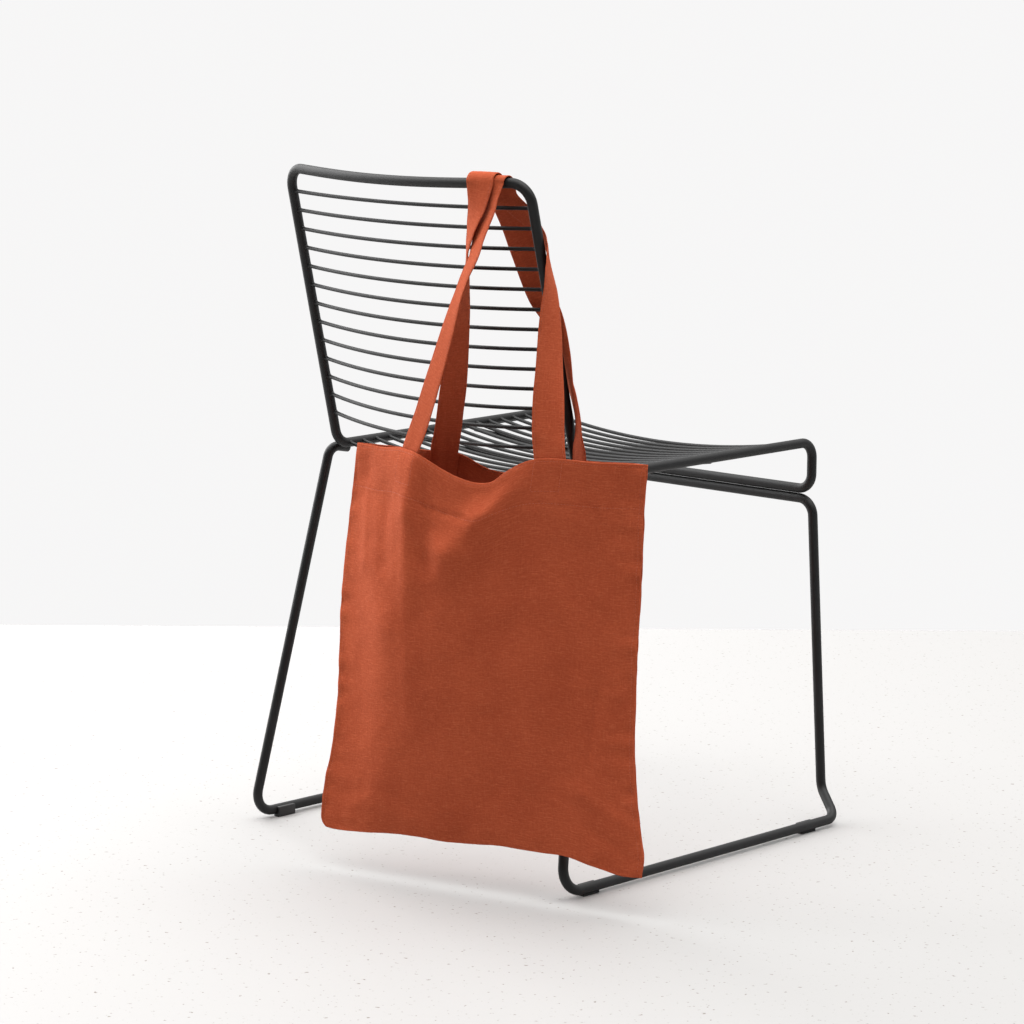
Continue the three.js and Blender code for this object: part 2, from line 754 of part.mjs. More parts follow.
// Assembly

function add(group, name, geometry, material) {
  const mesh = new THREE.Mesh(geometry, material);
  mesh.name = name;
  group.add(mesh);
  return mesh;
}

const chair = new THREE.Group();
const bag = new THREE.Group();

const backPanel = panelGrid(-1).map((row) => [...row].reverse());
const frontHandle = handleGrid(1, FRONT_HANDLE_UP, FRONT_OVER_RAIL, FRONT_HANDLE_DOWN);
const backHandle = handleGrid(-1, BACK_HANDLE_UP, BACK_OVER_RAIL, BACK_HANDLE_DOWN);
add(bag, 'front_panel', sheet(panelGrid(1), PANEL_THICKNESS), linen());
add(bag, 'back_panel', sheet(backPanel, PANEL_THICKNESS), linen());
add(bag, 'front_handle', sheet(frontHandle, STRAP_THICKNESS), linenStrap());
add(bag, 'back_handle', sheet(backHandle, STRAP_THICKNESS), linenStrap());

add(chair, 'frame', frameTube(), powderCoat());
add(chair, 'base', baseTube(), powderCoat());
for (let k = 0; k < BACK_ROD_COUNT; k += 1) {
  add(chair, `back_rod_${String(k + 1).padStart(2, '0')}`, backRod(k), powderCoat());
}
for (let k = 0; k < SEAT_ROD_COUNT; k += 1) {
  add(chair, `seat_rod_${String(k + 1).padStart(2, '0')}`, seatRod(k), powderCoat());
}
BRACES.forEach((points, k) => add(chair, `seat_brace_${k + 1}`, brace(points), powderCoat()));
GLIDES.forEach(([side, end, y]) => {
  add(chair, `glide_${end}_${side}`, glide(side === 'right' ? 1 : -1, y), glidePlastic());
});

// The whole thing stands on the floor with its origin under the middle of its box.
const object = new THREE.Group();
object.add(chair, bag);
const box = new THREE.Box3().setFromObject(object, true);
const middle = box.getCenter(new THREE.Vector3());
object.position.set(-middle.x, -middle.y, -box.min.z);

export default object;
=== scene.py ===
"""A plain linen shopping bag hanging open by its two handles from the back corner of a wire chair.

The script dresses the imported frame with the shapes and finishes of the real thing. Everything is in metres
in the frame's own axes: +Z is up, +Y is the way a sitter faces and +X is the side that the bag hangs on.
Tables of places are in millimetres, from the middle of the chair where its back meets its seat, and are
moved into the frame by Placement.
"""

import logging
import math
from dataclasses import dataclass
from enum import Enum
from typing import Any, Sequence

import bpy
import numpy as np
from mathutils import Matrix, Vector


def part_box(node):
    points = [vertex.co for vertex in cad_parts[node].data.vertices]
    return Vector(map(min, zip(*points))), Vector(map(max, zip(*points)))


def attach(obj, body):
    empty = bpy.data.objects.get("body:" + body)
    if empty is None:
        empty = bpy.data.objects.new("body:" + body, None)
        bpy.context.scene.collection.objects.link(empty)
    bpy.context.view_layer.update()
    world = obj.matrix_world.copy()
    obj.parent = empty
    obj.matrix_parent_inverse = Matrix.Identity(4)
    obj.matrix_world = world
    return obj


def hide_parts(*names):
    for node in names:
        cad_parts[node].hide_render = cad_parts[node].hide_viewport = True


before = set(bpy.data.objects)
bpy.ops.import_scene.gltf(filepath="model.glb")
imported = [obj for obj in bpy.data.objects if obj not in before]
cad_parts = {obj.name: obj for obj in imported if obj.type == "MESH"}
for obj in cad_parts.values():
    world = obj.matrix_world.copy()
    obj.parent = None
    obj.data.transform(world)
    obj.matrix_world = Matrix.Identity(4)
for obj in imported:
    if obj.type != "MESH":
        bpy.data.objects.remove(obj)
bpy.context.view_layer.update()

LOG = logging.getLogger("scene")
MM = 0.001
IMAGE_PIXELS = 1024
ROOT = "root"

Array = np.ndarray
Object = bpy.types.Object
Material = bpy.types.Material
Pair = tuple[float, float]
Triple = tuple[float, float, float]
Row = tuple[float, float, float, float]


class Slot(Enum):
    """Names of the record's material slots."""

    PANEL = "panel_linen"
    STRAP = "strap_linen"
    METAL = "powder_coat"
    GLIDE = "glide_plastic"


# Small mathematics on whole arrays


def unit(vectors: Array) -> Array:
    """Vectors, with x, y, z as the last axis, over their own lengths."""
    return vectors / np.maximum(np.linalg.norm(vectors, axis=-1, keepdims=True), 1e-12)


def ease(edge: float, width: float, values: Array) -> Array:
    """A soft step: 0 up to the edge, 1 past edge plus width, and 3x^2 - 2x^3 between."""
    x = np.clip((values - edge) / width, 0.0, 1.0)
    return x * x * (3.0 - 2.0 * x)


def grown(values: Array, width: float) -> Array:
    """A share that grows from 0 towards 1, as 1 minus exp of minus the value over the width."""
    return 1 - np.exp(-values / width)


def pucker(values: Array, start: float, reach: float) -> Array:
    """A share that grows from 0 over the start and then dies away over the reach."""
    return np.exp(-values / reach) * grown(values, start)


def ridge(values: Array, width: float) -> Array:
    """A share that is 1 at zero and falls off both ways, as exp of minus the square of value over width."""
    return np.exp(-((values / width) ** 2))


def quarter_round(values: Array) -> Array:
    """Height of a quarter circle of radius 1 that starts at zero, and 1 beyond it."""
    return np.sqrt(np.clip(1 - (1 - np.clip(values, 0, 1)) ** 2, 0, 1))


def travelled(line: Array) -> Array:
    """Distance along a line at each of its points."""
    return np.concatenate([[0.0], np.cumsum(np.linalg.norm(np.diff(line, axis=0), axis=1))])


def read_along(keys: Array, along: Array, vectors: Array) -> Array:
    """Vectors that are given at distances along a line, read at other distances."""
    return np.stack([np.interp(keys, along, column) for column in vectors.T], axis=1)


def stations(*stretches: tuple[float, float, int]) -> Array:
    """Rising distances, from the start, the end and the number of even steps of each stretch."""
    return np.unique(np.concatenate([np.linspace(a, b, n + 1) for a, b, n in stretches]).round(6))


def hermite(p: Array, q: Array, p_slope: Array, q_slope: Array, t: Array) -> tuple[Array, Array]:
    """Places and slopes, at shares t of the way, of the cubic from p to q with a slope at each."""
    a, b = 2 * p - 2 * q + p_slope + q_slope, -3 * p + 3 * q - 2 * p_slope - q_slope
    return ((a * t + b) * t + p_slope) * t + p, (3 * a * t + 2 * b) * t + p_slope


def catmull(points: Array, keys: Array, even: bool = False) -> tuple[Array, Array]:
    """A Catmull-Rom spline through points, with knots at the root of the spacing, or even knots.

    The ends are continued by mirroring the next point through the first and the last one. Between two points
    the curve is a cubic Hermite piece whose slopes come from the points before and after.

    Args:
        points: The points to pass through, one to a row.
        keys: Where the curve is wanted, counted in points: 2.5 is halfway from the third to the fourth.
        even: True for even knots.

    Returns:
        The points on the curve and its tangents.
    """
    first = 2 * points[:1] - points[1:2]
    last = 2 * points[-1:] - points[-2:-1]
    row = np.concatenate([first, points, last])
    k = np.clip(np.floor(keys).astype(int), 0, len(points) - 2)
    t = (keys - k)[:, None]
    p0, p1, p2, p3 = row[k], row[k + 1], row[k + 2], row[k + 3]
    if even:
        m1, m2 = (p2 - p0) / 2, (p3 - p1) / 2
    else:
        gaps = (p1 - p0, p2 - p1, p3 - p2)
        d0, d1, d2 = (np.sqrt(np.linalg.norm(gap, axis=1, keepdims=True)) for gap in gaps)
        m1 = ((p1 - p0) / d0 - (p2 - p0) / (d0 + d1) + (p2 - p1) / d1) * d1
        m2 = ((p2 - p1) / d1 - (p3 - p1) / (d1 + d2) + (p3 - p2) / d2) * d1
    return hermite(p1, p2, m1, m2, t)


@dataclass(frozen=True)
class Stations:
    """A smooth line through a table's rows: a key, and the numbers wanted there."""

    rows: tuple[tuple[float, ...], ...]

    def at(self, key: Array) -> Array:
        """Places on the line: cubic Hermite pieces whose slopes are those between each row's neighbours.

        Args:
            key: Where the line is wanted, in the table's first column.

        Returns:
            The table's other columns there, as the last axis.
        """
        table = np.array(self.rows)
        last = len(table) - 1
        before, after = np.maximum(np.arange(last + 1) - 1, 0), np.minimum(np.arange(last + 1) + 1, last)
        slope = (table[after, 1:] - table[before, 1:]) / (table[after, :1] - table[before, :1])
        i = np.clip(np.searchsorted(table[:, 0], key, side="left") - 1, 0, last - 1)
        span = table[i + 1, 0] - table[i, 0]
        t = np.clip((key - table[i, 0]) / span, 0, 1)[..., None]
        slopes = span[..., None] * slope[i], span[..., None] * slope[i + 1]
        return hermite(table[i, 1:], table[i + 1, 1:], *slopes, t)[0]


class Ripple:
    """Smooth seeded waves over a sheet: random heights on a lattice, x^3 (6x^2 - 15x + 10) between them."""

    def __init__(self, seed: int, cell: Pair, reach: float = 1000.0) -> None:
        """Draws the lattice.

        Args:
            seed: The seed, so that every run gives the same waves.
            cell: The lattice's spacing across and down, in millimetres.
            reach: How far the lattice runs each way, in millimetres.
        """
        self.cell = cell
        count = [int(reach / c) + 3 for c in cell]
        self.heights = np.random.default_rng(seed).uniform(-1.0, 1.0, count)

    def at(self, s: Array, h: Array) -> Array:
        """Height of the waves, from -1 to 1.

        Args:
            s: Distances across, in millimetres.
            h: Distances down, in millimetres.

        Returns:
            The heights.
        """
        x, y = np.abs(s) / self.cell[0], np.abs(h) / self.cell[1]
        i, j = x.astype(int), y.astype(int)
        u, v = x - i, y - j
        u, v = u**3 * (6 * u * u - 15 * u + 10), v**3 * (6 * v * v - 15 * v + 10)
        g = self.heights
        upper = g[i, j] * (1 - u) + g[i + 1, j] * u
        lower = g[i, j + 1] * (1 - u) + g[i + 1, j + 1] * u
        return upper * (1 - v) + lower * v


@dataclass(frozen=True)
class Placement:
    """Moves places from the tables, in millimetres, into the frame, in metres."""

    glide_y: float = -38.0

    def shift(self) -> Array:
        """Where the tables' own origin lies in the frame: found from the base, which is even about its
        middle, and from a rear glide, whose place along the runner is known."""
        base_low, base_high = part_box("base")
        glide_low, glide_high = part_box("glide_rear_right")
        x = (base_low[0] + base_high[0]) / 2
        y = (glide_low[1] + glide_high[1]) / 2 - self.glide_y * MM
        return np.array([x, y, 0.0])

    def put(self, places: Array) -> Array:
        """Places of the tables in the frame's metres."""
        return places * MM + self.shift()


PLACEMENT = Placement()


# Meshes from arrays


def grid_quads(rows: int, columns: int, round_rows: bool = False, round_columns: bool = False) -> Array:
    """Faces of a grid whose points are numbered row by row.

    Args:
        rows: Number of rows.
        columns: Number of columns.
        round_rows: True if the last row joins the first.
        round_columns: True if the last column joins the first.

    Returns:
        Four point numbers for each face, turned so that down the rows crossed with along them is outwards.
    """
    j = np.arange(rows if round_rows else rows - 1)[:, None]
    i = np.arange(columns if round_columns else columns - 1)[None, :]
    jn, im = (j + 1) % rows, (i + 1) % columns
    quads = np.stack([j * columns + i, jn * columns + i, jn * columns + im, j * columns + im], axis=-1)
    return quads.reshape(-1, 4)


def new_object(name: str, data: Any) -> Object:
    """A new object with its data, in the scene."""
    made = bpy.data.objects.new(name, data)
    bpy.context.scene.collection.objects.link(made)
    return made


def mesh_object(name: str, points: Array, faces: Sequence[Array], uv: Array | None = None) -> Object:
    """An object at the origin from arrays.

    Args:
        name: The object's name.
        points: Places in metres, one to a row.
        faces: Arrays of point numbers, each with faces of one number of corners.
        uv: One place in metres on the flat cloth for each point, or None.

    Returns:
        The new object, in the scene.
    """
    mesh = bpy.data.meshes.new(name)
    loops = np.concatenate([part.ravel() for part in faces])
    sizes = np.concatenate([np.full(len(part), part.shape[1]) for part in faces])
    mesh.vertices.add(len(points))
    mesh.vertices.foreach_set("co", points.astype(np.float32).ravel())
    mesh.loops.add(len(loops))
    mesh.loops.foreach_set("vertex_index", loops.astype(np.int32))
    mesh.polygons.add(len(sizes))
    mesh.polygons.foreach_set("loop_start", (np.cumsum(sizes) - sizes).astype(np.int32))
    mesh.polygons.foreach_set("loop_total", sizes.astype(np.int32))
    mesh.update(calc_edges=True)
    mesh.validate()
    mesh.polygons.foreach_set("use_smooth", np.ones(len(mesh.polygons), bool))
    if uv is not None:
        layer = mesh.uv_layers.new(name="Cloth")
        layer.data.foreach_set("uv", uv[loops].astype(np.float32).ravel())
    return new_object(name, mesh)


def fan(pole: int, ring: Array) -> Array:
    """Triangles from a pole's number to each step round a ring of numbers."""
    return np.stack([np.full(len(ring), pole), ring, np.roll(ring, -1)], axis=1)


def surface_normals(points: Array) -> Array:
    """Unit normals of a grid of points: the step down the rows crossed with the step along them."""
    return unit(np.cross(np.gradient(points, axis=0), np.gradient(points, axis=1)))


def sheet_object(name: str, outer: Array, inner: Array, uv: Array) -> Object:
    """A closed sheet between an outer and an inner grid of points, with its rim closed.

    Args:
        name: The object's name.
        outer: The outer side's places, rows by columns by x, y, z.
        inner: The inner side's places, in the same order.
        uv: The places on the flat cloth, rows by columns by two.

    Returns:
        The new object.
    """
    rows, columns = outer.shape[:2]
    number = np.arange(rows * columns).reshape(rows, columns)
    rim = np.concatenate([number[0, :-1], number[:-1, -1], number[-1, :0:-1], number[:0:-1, 0]])
    after = np.roll(rim, -1)
    under = rows * columns
    top = grid_quads(rows, columns)
    bottom = top[:, ::-1] + under
    edge = np.stack([rim, after, after + under, rim + under], axis=1)
    points = np.concatenate([outer.reshape(-1, 3), inner.reshape(-1, 3)])
    flat = uv.reshape(-1, 2)
    return mesh_object(name, points, [top, bottom, edge], np.concatenate([flat, flat]))


def swept(name: str, path: Array, radii: Array, sides: int, reference: Triple, joined: bool) -> Object:
    """A round bar along a path: at each station a circle of the station's radius, square to the path.

    Args:
        name: The object's name.
        path: The centre line's places, in metres.
        radii: The radius at each station, in metres.
        sides: Number of points round the circle.
        reference: A direction that the path never runs along, from which each circle starts.
        joined: True if the path's end joins its start.

    Returns:
        The new object, with its ends closed by fans.
    """
    if joined:
        tangent = unit(np.roll(path, -1, axis=0) - np.roll(path, 1, axis=0))
    else:
        tangent = unit(np.gradient(path, axis=0))
    side = unit(np.cross(tangent, np.array(reference)))
    other = np.cross(tangent, side)
    angle = np.linspace(0, 2 * np.pi, sides, endpoint=False)[None, :, None]
    circle = np.cos(angle) * side[:, None] + np.sin(angle) * other[:, None]
    points = (path[:, None] + circle * radii[:, None, None]).reshape(-1, 3)
    quads = grid_quads(len(path), sides, round_rows=joined, round_columns=True)[:, ::-1]
    if joined:
        return mesh_object(name, points, [quads])
    ring, count = np.arange(sides), len(points)
    first = fan(count, ring)[:, [0, 2, 1]]
    last = fan(count + 1, ring + count - sides)
    return mesh_object(name, np.concatenate([points, path[:1], path[-1:]]), [quads, first, last])


def tube_route(right: Sequence[Row], joined: bool, step: float) -> Array:
    """A line through corners and then through their mirror images, with an arc in the place of each corner.

    Args:
        right: For each corner on the +X side x, y, z and the radius of its bend. An end has radius 0.
        joined: True if the last corner leads back to the first.
        step: About how far apart the points of a straight stretch are.

    Returns:
        The line's points, in millimetres.
    """
    arc_step = 0.10
    corners = [*right, *((-x, y, z, bend) for x, y, z, bend in reversed(right))]
    places = np.array([corner[:3] for corner in corners])
    parts = []
    for i, here in enumerate(places):
        radius = corners[i][3]
        if not radius:
            parts.append(here[None])
            continue
        back = unit(places[i - 1] - here)
        onward = unit(places[(i + 1) % len(places)] - here)
        half = math.acos(float(back @ onward)) / 2
        centre = here + unit(back + onward) * radius / math.sin(half)
        start = here + back * radius / math.tan(half) - centre
        end = here + onward * radius / math.tan(half) - centre
        sweep = math.acos(float(np.clip(unit(start) @ unit(end), -1, 1)))
        t = np.linspace(0, 1, max(3, int(sweep / arc_step)) + 1)[:, None]
        parts.append(centre + (np.sin((1 - t) * sweep) * start + np.sin(t * sweep) * end) / math.sin(sweep))
    line = np.concatenate(parts)
    ahead = np.roll(line, -1, axis=0)
    counts = np.maximum(1, (np.linalg.norm(ahead - line, axis=1) / step).astype(int))
    shares = [np.linspace(0, 1, count, endpoint=False)[:, None] for count in counts]
    parts = [a + (b - a) * share for a, b, share in zip(line, ahead, shares)]
    return np.concatenate(parts if joined else [*parts[:-1], line[-1:]])


def stitch_object(name: str, starts: Array, ends: Array, normals: Array, radius: float) -> Object:
    """Sewn stitches: each is a short flattened bead of thread between two places, its ends sunk in the cloth.

    A stitch is a spindle of four rings and two poles. A ring's place runs from start to end, its height over
    the cloth is an arch, and its radius is smaller at both ends.

    Args:
        name: The object's name.
        starts: Where each stitch comes up, in metres.
        ends: Where each goes down, in metres.
        normals: The cloth's outward direction at each stitch.
        radius: The thread's radius, in metres.

    Returns:
        The new object.
    """
    share = np.array([0.0, 0.06, 0.3, 0.7, 0.94, 1.0])
    height = np.array([-0.9, -0.35, 0.25, 0.25, -0.35, -0.9]) * radius
    girth = np.array([0.6, 1.0, 1.0, 0.6])
    sides, width, flatness = 6, 1.15, 0.8
    run = unit(ends - starts)
    up = unit(normals - run * np.sum(normals * run, axis=1, keepdims=True))
    across = np.cross(run, up)
    centre = starts[:, None] + (ends - starts)[:, None] * share[None, :, None]
    centre = centre + up[:, None] * height[None, :, None]
    angle = np.linspace(0, 2 * np.pi, sides, endpoint=False)[None, :, None]
    ring = np.cos(angle) * across[:, None] * width + np.sin(angle) * up[:, None] * flatness
    rings = centre[:, 1:5, None] + ring[:, None] * (girth * radius)[None, :, None, None]
    count = len(starts)
    points = np.concatenate([rings.reshape(count, -1, 3), centre[:, :1], centre[:, 5:]], axis=1)
    quads = grid_quads(4, sides, round_columns=True)
    first = fan(4 * sides, np.arange(sides))
    last = fan(4 * sides + 1, np.arange(sides) + 3 * sides)[:, [0, 2, 1]]
    offset = (np.arange(count) * (4 * sides + 2))[:, None, None]
    faces = [(part[None] + offset).reshape(-1, part.shape[1]) for part in (quads, first, last)]
    return mesh_object(name, points.reshape(-1, 3), faces)


# Shaders


class Value:
    """A number in a shader, on which Python's operators add Math nodes."""

    def __init__(self, graph: "Graph", socket: bpy.types.NodeSocket) -> None:
        """Wraps an output socket of a graph."""
        self.graph = graph
        self.socket = socket

    def math(self, operation: str, *others: "Value | float") -> "Value":
        """A Math node on this value and others."""
        return self.graph.node("ShaderNodeMath", {"operation": operation}, dict(enumerate((self, *others))))

    def __add__(self, other: "Value | float") -> "Value":
        """This plus other."""
        return self.math("ADD", other)

    def __mul__(self, other: "Value | float") -> "Value":
        """This times other."""
        return self.math("MULTIPLY", other)

    def __rsub__(self, other: float) -> "Value":
        """Other minus this."""
        return self.graph.node("ShaderNodeMath", {"operation": "SUBTRACT"}, {0: other, 1: self})

    __radd__ = __add__

    def step(self, low: float, high: float) -> "Value":
        """A soft step from 0 at low to 1 at high."""
        ends = {"Value": self, "From Min": low, "From Max": high}
        return self.graph.node("ShaderNodeMapRange", {"interpolation_type": "SMOOTHSTEP"}, ends)


class Graph:
    """A tree of shader nodes and ways to add to it."""

    def __init__(self, tree: bpy.types.NodeTree) -> None:
        """Takes over a node tree."""
        self.tree = tree

    def node(
        self,
        kind: str,
        settings: dict[str, Any] | None = None,
        inputs: dict[Any, Any] | None = None,
        output: int | str = 0,
    ) -> Value:
        """Adds a node.

        Args:
            kind: The node's type.
            settings: Its attributes.
            inputs: For each input's name or number, a Value to link or a constant.
            output: The output that is wanted, by name or number.

        Returns:
            That output, wrapped.
        """
        made = self.tree.nodes.new(kind)
        for key, setting in (settings or {}).items():
            setattr(made, key, setting)
        for key, given in (inputs or {}).items():
            self.feed(made.inputs[key], given)
        return Value(self, made.outputs[output])

    def feed(self, socket: bpy.types.NodeSocket, given: Any) -> None:
        """Links a Value to a socket, or sets the socket's own value; a colour is opaque."""
        if isinstance(given, Value):
            self.tree.links.new(given.socket, socket)
        else:
            socket.default_value = (*given, 1.0) if socket.type == "RGBA" else given

    def cloth_place(self) -> Value:
        """The place on the flat cloth, in metres, from the piece's UV map."""
        return self.node("ShaderNodeUVMap", {"uv_map": "Cloth"})

    def object_place(self) -> Value:
        """The place in the frame, in metres."""
        return self.node("ShaderNodeTexCoord", output="Object")

    def part(self, vector: Value, axis: str) -> Value:
        """One of a vector's numbers."""
        return self.node("ShaderNodeSeparateXYZ", None, {0: vector}, axis)

    def noise(self, vector: Value, scale: Triple, detail: float) -> Value:
        """Smooth noise from 0 to 1.

        Args:
            vector: Where it is read.
            scale: How many waves there are in a metre along each axis.
            detail: How many finer layers it has.

        Returns:
            The noise.
        """
        stretched = self.node("ShaderNodeVectorMath", {"operation": "MULTIPLY"}, {0: vector, 1: scale})
        inputs = {"Vector": stretched, "Scale": 1.0, "Detail": detail}
        return self.node("ShaderNodeTexNoise", None, inputs, "Fac")

    def mix(self, share: Value | float, first: Any, second: Any) -> Value:
        """A colour between two, by a share from 0 to 1."""
        return self.node("ShaderNodeMix", {"data_type": "RGBA"}, {0: share, 6: first, 7: second}, 2)

    def bump(self, height: Value) -> Value:
        """A normal from a height in metres."""
        return self.node("ShaderNodeBump", None, {"Height": height, "Distance": 1.0}, "Normal")


class Finish(Graph):
    """The nodes of one material, built around a Principled shader."""

    def __init__(self, name: str) -> None:
        """Makes an empty material with a Principled shader and its output."""
        self.material = bpy.data.materials.new(name)
        self.material.use_nodes = True
        super().__init__(self.material.node_tree)
        self.tree.nodes.clear()
        self.shader = self.tree.nodes.new("ShaderNodeBsdfPrincipled")
        output = self.tree.nodes.new("ShaderNodeOutputMaterial")
        self.tree.links.new(self.shader.outputs[0], output.inputs[0])

    def surface(self, **inputs: Any) -> None:
        """Feeds the Principled shader: a name's underscores stand for spaces."""
        for key, given in inputs.items():
            self.feed(self.shader.inputs[key.replace("_", " ")], given)


class Look:
    """A finish that is made into a material."""

    name: str

    def build(self) -> Material:
        """Makes the material.

        Returns:
            The material, with the nodes that the finish's own class adds.
        """
        finish = Finish(self.name)
        self.add_nodes(finish)
        return finish.material


@dataclass(frozen=True)
class Linen(Look):
    """Plain-woven linen with slubs, on the cloth's own flat places."""

    name: str
    colour: Triple = (0.52, 0.106, 0.045)
    pale: Triple = (0.68, 0.176, 0.084)
    deep: Triple = (0.355, 0.063, 0.026)
    thread: float = 0.62 * MM
    thread_height: float = 0.07 * MM
    slub_height: float = 0.10 * MM
    crease_height: float = 0.5 * MM

    def add_nodes(self, g: Finish) -> None:
        """Threads that pass over and under, thick places along both ways of the weave, and faint creases."""
        place = g.cloth_place()
        across, down = g.part(place, "X"), g.part(place, "Y")
        wander = g.noise(place, (90, 90, 1), 2) * (1.6 * self.thread)
        warp = ((across + wander) * (math.pi / self.thread)).math("SINE")
        weft = ((down + wander) * (math.pi / self.thread)).math("SINE")
        weave = (warp * weft).math("ABSOLUTE")
        weft_slub = g.noise(place, (95, 640, 1), 3)
        warp_slub = g.noise(place, (700, 70, 1), 3)
        slubs = weft_slub.step(0.50, 0.72) + warp_slub.step(0.52, 0.76) * 0.7
        thin = weft_slub.step(0.50, 0.30) + warp_slub.step(0.48, 0.28) * 0.7
        mottle = g.noise(place, (17, 13, 1), 5)
        grain = g.noise(place, (330, 520, 1), 3)
        tone = mottle * 0.40 + grain * 0.50 + weave * 0.10
        body = g.mix(tone.step(0.22, 0.78), self.deep, self.colour)
        streaked = g.mix((slubs * 0.22).math("MINIMUM", 0.5), body, self.pale)
        colour = g.mix((thin * 0.26).math("MINIMUM", 0.5), streaked, self.deep)
        crease = g.noise(place, (30, 34, 1), 3) + g.noise(place, (85, 70, 1), 2) * 0.35
        height = weave * self.thread_height + slubs * self.slub_height + crease * self.crease_height
        g.surface(
            Base_Color=colour,
            Roughness=0.93 - slubs * 0.06,
            Normal=g.bump(height),
            Sheen_Weight=0.05,
            Sheen_Roughness=0.45,
            Sheen_Tint=(0.95, 0.60, 0.36),
            Specular_IOR_Level=0.05,
        )


@dataclass(frozen=True)
class Thread(Look):
    """Sewing thread of two twisted plies."""

    name: str = "sewing_thread"
    colour: Triple = (0.40, 0.080, 0.033)
    pale: Triple = (0.48, 0.106, 0.047)
    twist: float = 0.5 * MM

    def add_nodes(self, g: Finish) -> None:
        """A twist of light and dark along the thread with a soft gloss."""
        place = g.object_place()
        ply = (g.part(place, "X") + g.part(place, "Y") + g.part(place, "Z")) * (2 * math.pi / self.twist)
        wave = ply.math("SINE") * 0.5 + 0.5
        fuzz = g.noise(place, (2600, 2600, 2600), 1)
        colour = g.mix(wave * 0.6 + fuzz * 0.3, self.colour, self.pale)
        normal = g.bump(wave * 0.04 * MM)
        g.surface(Base_Color=colour, Roughness=0.72 - wave * 0.1, Normal=normal, Sheen_Weight=0.1)


@dataclass(frozen=True)
class PowderCoat(Look):
    """Satin black powder coat on steel, a little rubbed in places."""

    name: str = "satin_powder_coat"
    colour: Triple = (0.0045, 0.0047, 0.0052)
    rubbed: Triple = (0.014, 0.0145, 0.0155)
    pebble: float = 0.014 * MM

    def add_nodes(self, g: Finish) -> None:
        """A fine pebbled skin whose gloss and tone change slightly from place to place."""
        place = g.object_place()
        pebbles = g.noise(place, (1500, 1500, 1500), 2)
        cloud = g.noise(place, (24, 24, 24), 3)
        specks = g.noise(place, (420, 420, 420), 2).step(0.66, 0.74)
        colour = g.mix(cloud.step(0.45, 0.75) * 0.5 + specks * 0.35, self.colour, self.rubbed)
        g.surface(
            Base_Color=colour,
            Roughness=0.46 + cloud * 0.12 + pebbles * 0.06,
            Normal=g.bump(pebbles * self.pebble + specks * 0.01 * MM),
            Specular_IOR_Level=0.36,
        )


@dataclass(frozen=True)
class GlidePlastic(Look):
    """Moulded black plastic with a spark-eroded grain and scuffs where it meets the floor."""

    name: str = "moulded_plastic"
    colour: Triple = (0.016, 0.016, 0.017)
    scuffed: Triple = (0.060, 0.058, 0.055)
    floor_reach: float = 2.2 * MM

    def add_nodes(self, g: Finish) -> None:
        """A grained skin, paler in the lowest few millimetres."""
        place = g.object_place()
        grain = g.noise(place, (2400, 2400, 2400), 2)
        low = 1 - g.part(place, "Z").step(0.0, self.floor_reach)
        scuff = low * g.noise(place, (300, 900, 300), 3).step(0.45, 0.7)
        colour = g.mix(scuff * 0.7 + grain * 0.15, self.colour, self.scuffed)
        g.surface(Base_Color=colour, Roughness=0.55 + grain * 0.15, Normal=g.bump(grain * 0.012 * MM))


@dataclass(frozen=True)
class FloorPaint(Look):
    """A pale painted floor with sparse small specks."""

    name: str = "pale_floor"
    colour: Triple = (0.395, 0.390, 0.387)
    clouded: Triple = (0.405, 0.401, 0.397)
    speck: Triple = (0.16, 0.13, 0.11)
    unevenness: float = 0.4 * MM
    speck_height: float = 0.1 * MM

    def add_nodes(self, g: Finish) -> None:
        """A pale grey ground, clouded a little, with specks."""
        place = g.object_place()
        cloud = g.noise(place, (5, 5, 5), 4)
        specks = g.noise(place, (170, 170, 170), 2).step(0.66, 0.73)
        ground = g.mix(cloud * 0.5, self.colour, self.clouded)
        colour = g.mix(specks * 0.8, ground, self.speck)
        normal = g.bump(cloud * self.unevenness + specks * self.speck_height)
        g.surface(Base_Color=colour, Roughness=0.62 + cloud * 0.1, Normal=normal)


def dress(piece: Object, material: Material, slot: Slot, *nodes: str) -> Object:
    """Gives a piece its finish and ties it to the frame.

    Args:
        piece: The piece.
        material: Its material.
        slot: Not used.
        nodes: The CAD nodes that it stands for.

    Returns:
        The piece.
    """
    piece.data.materials.append(material)
    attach(piece, ROOT)
    if nodes:
        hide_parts(*nodes)
    LOG.info("%s: %d faces", piece.name, len(piece.data.polygons))
    return piece


# The bag


class Side(Enum):
    """Which of the two panels: the front one is away from the chair."""

    FRONT = 1
    BACK = -1


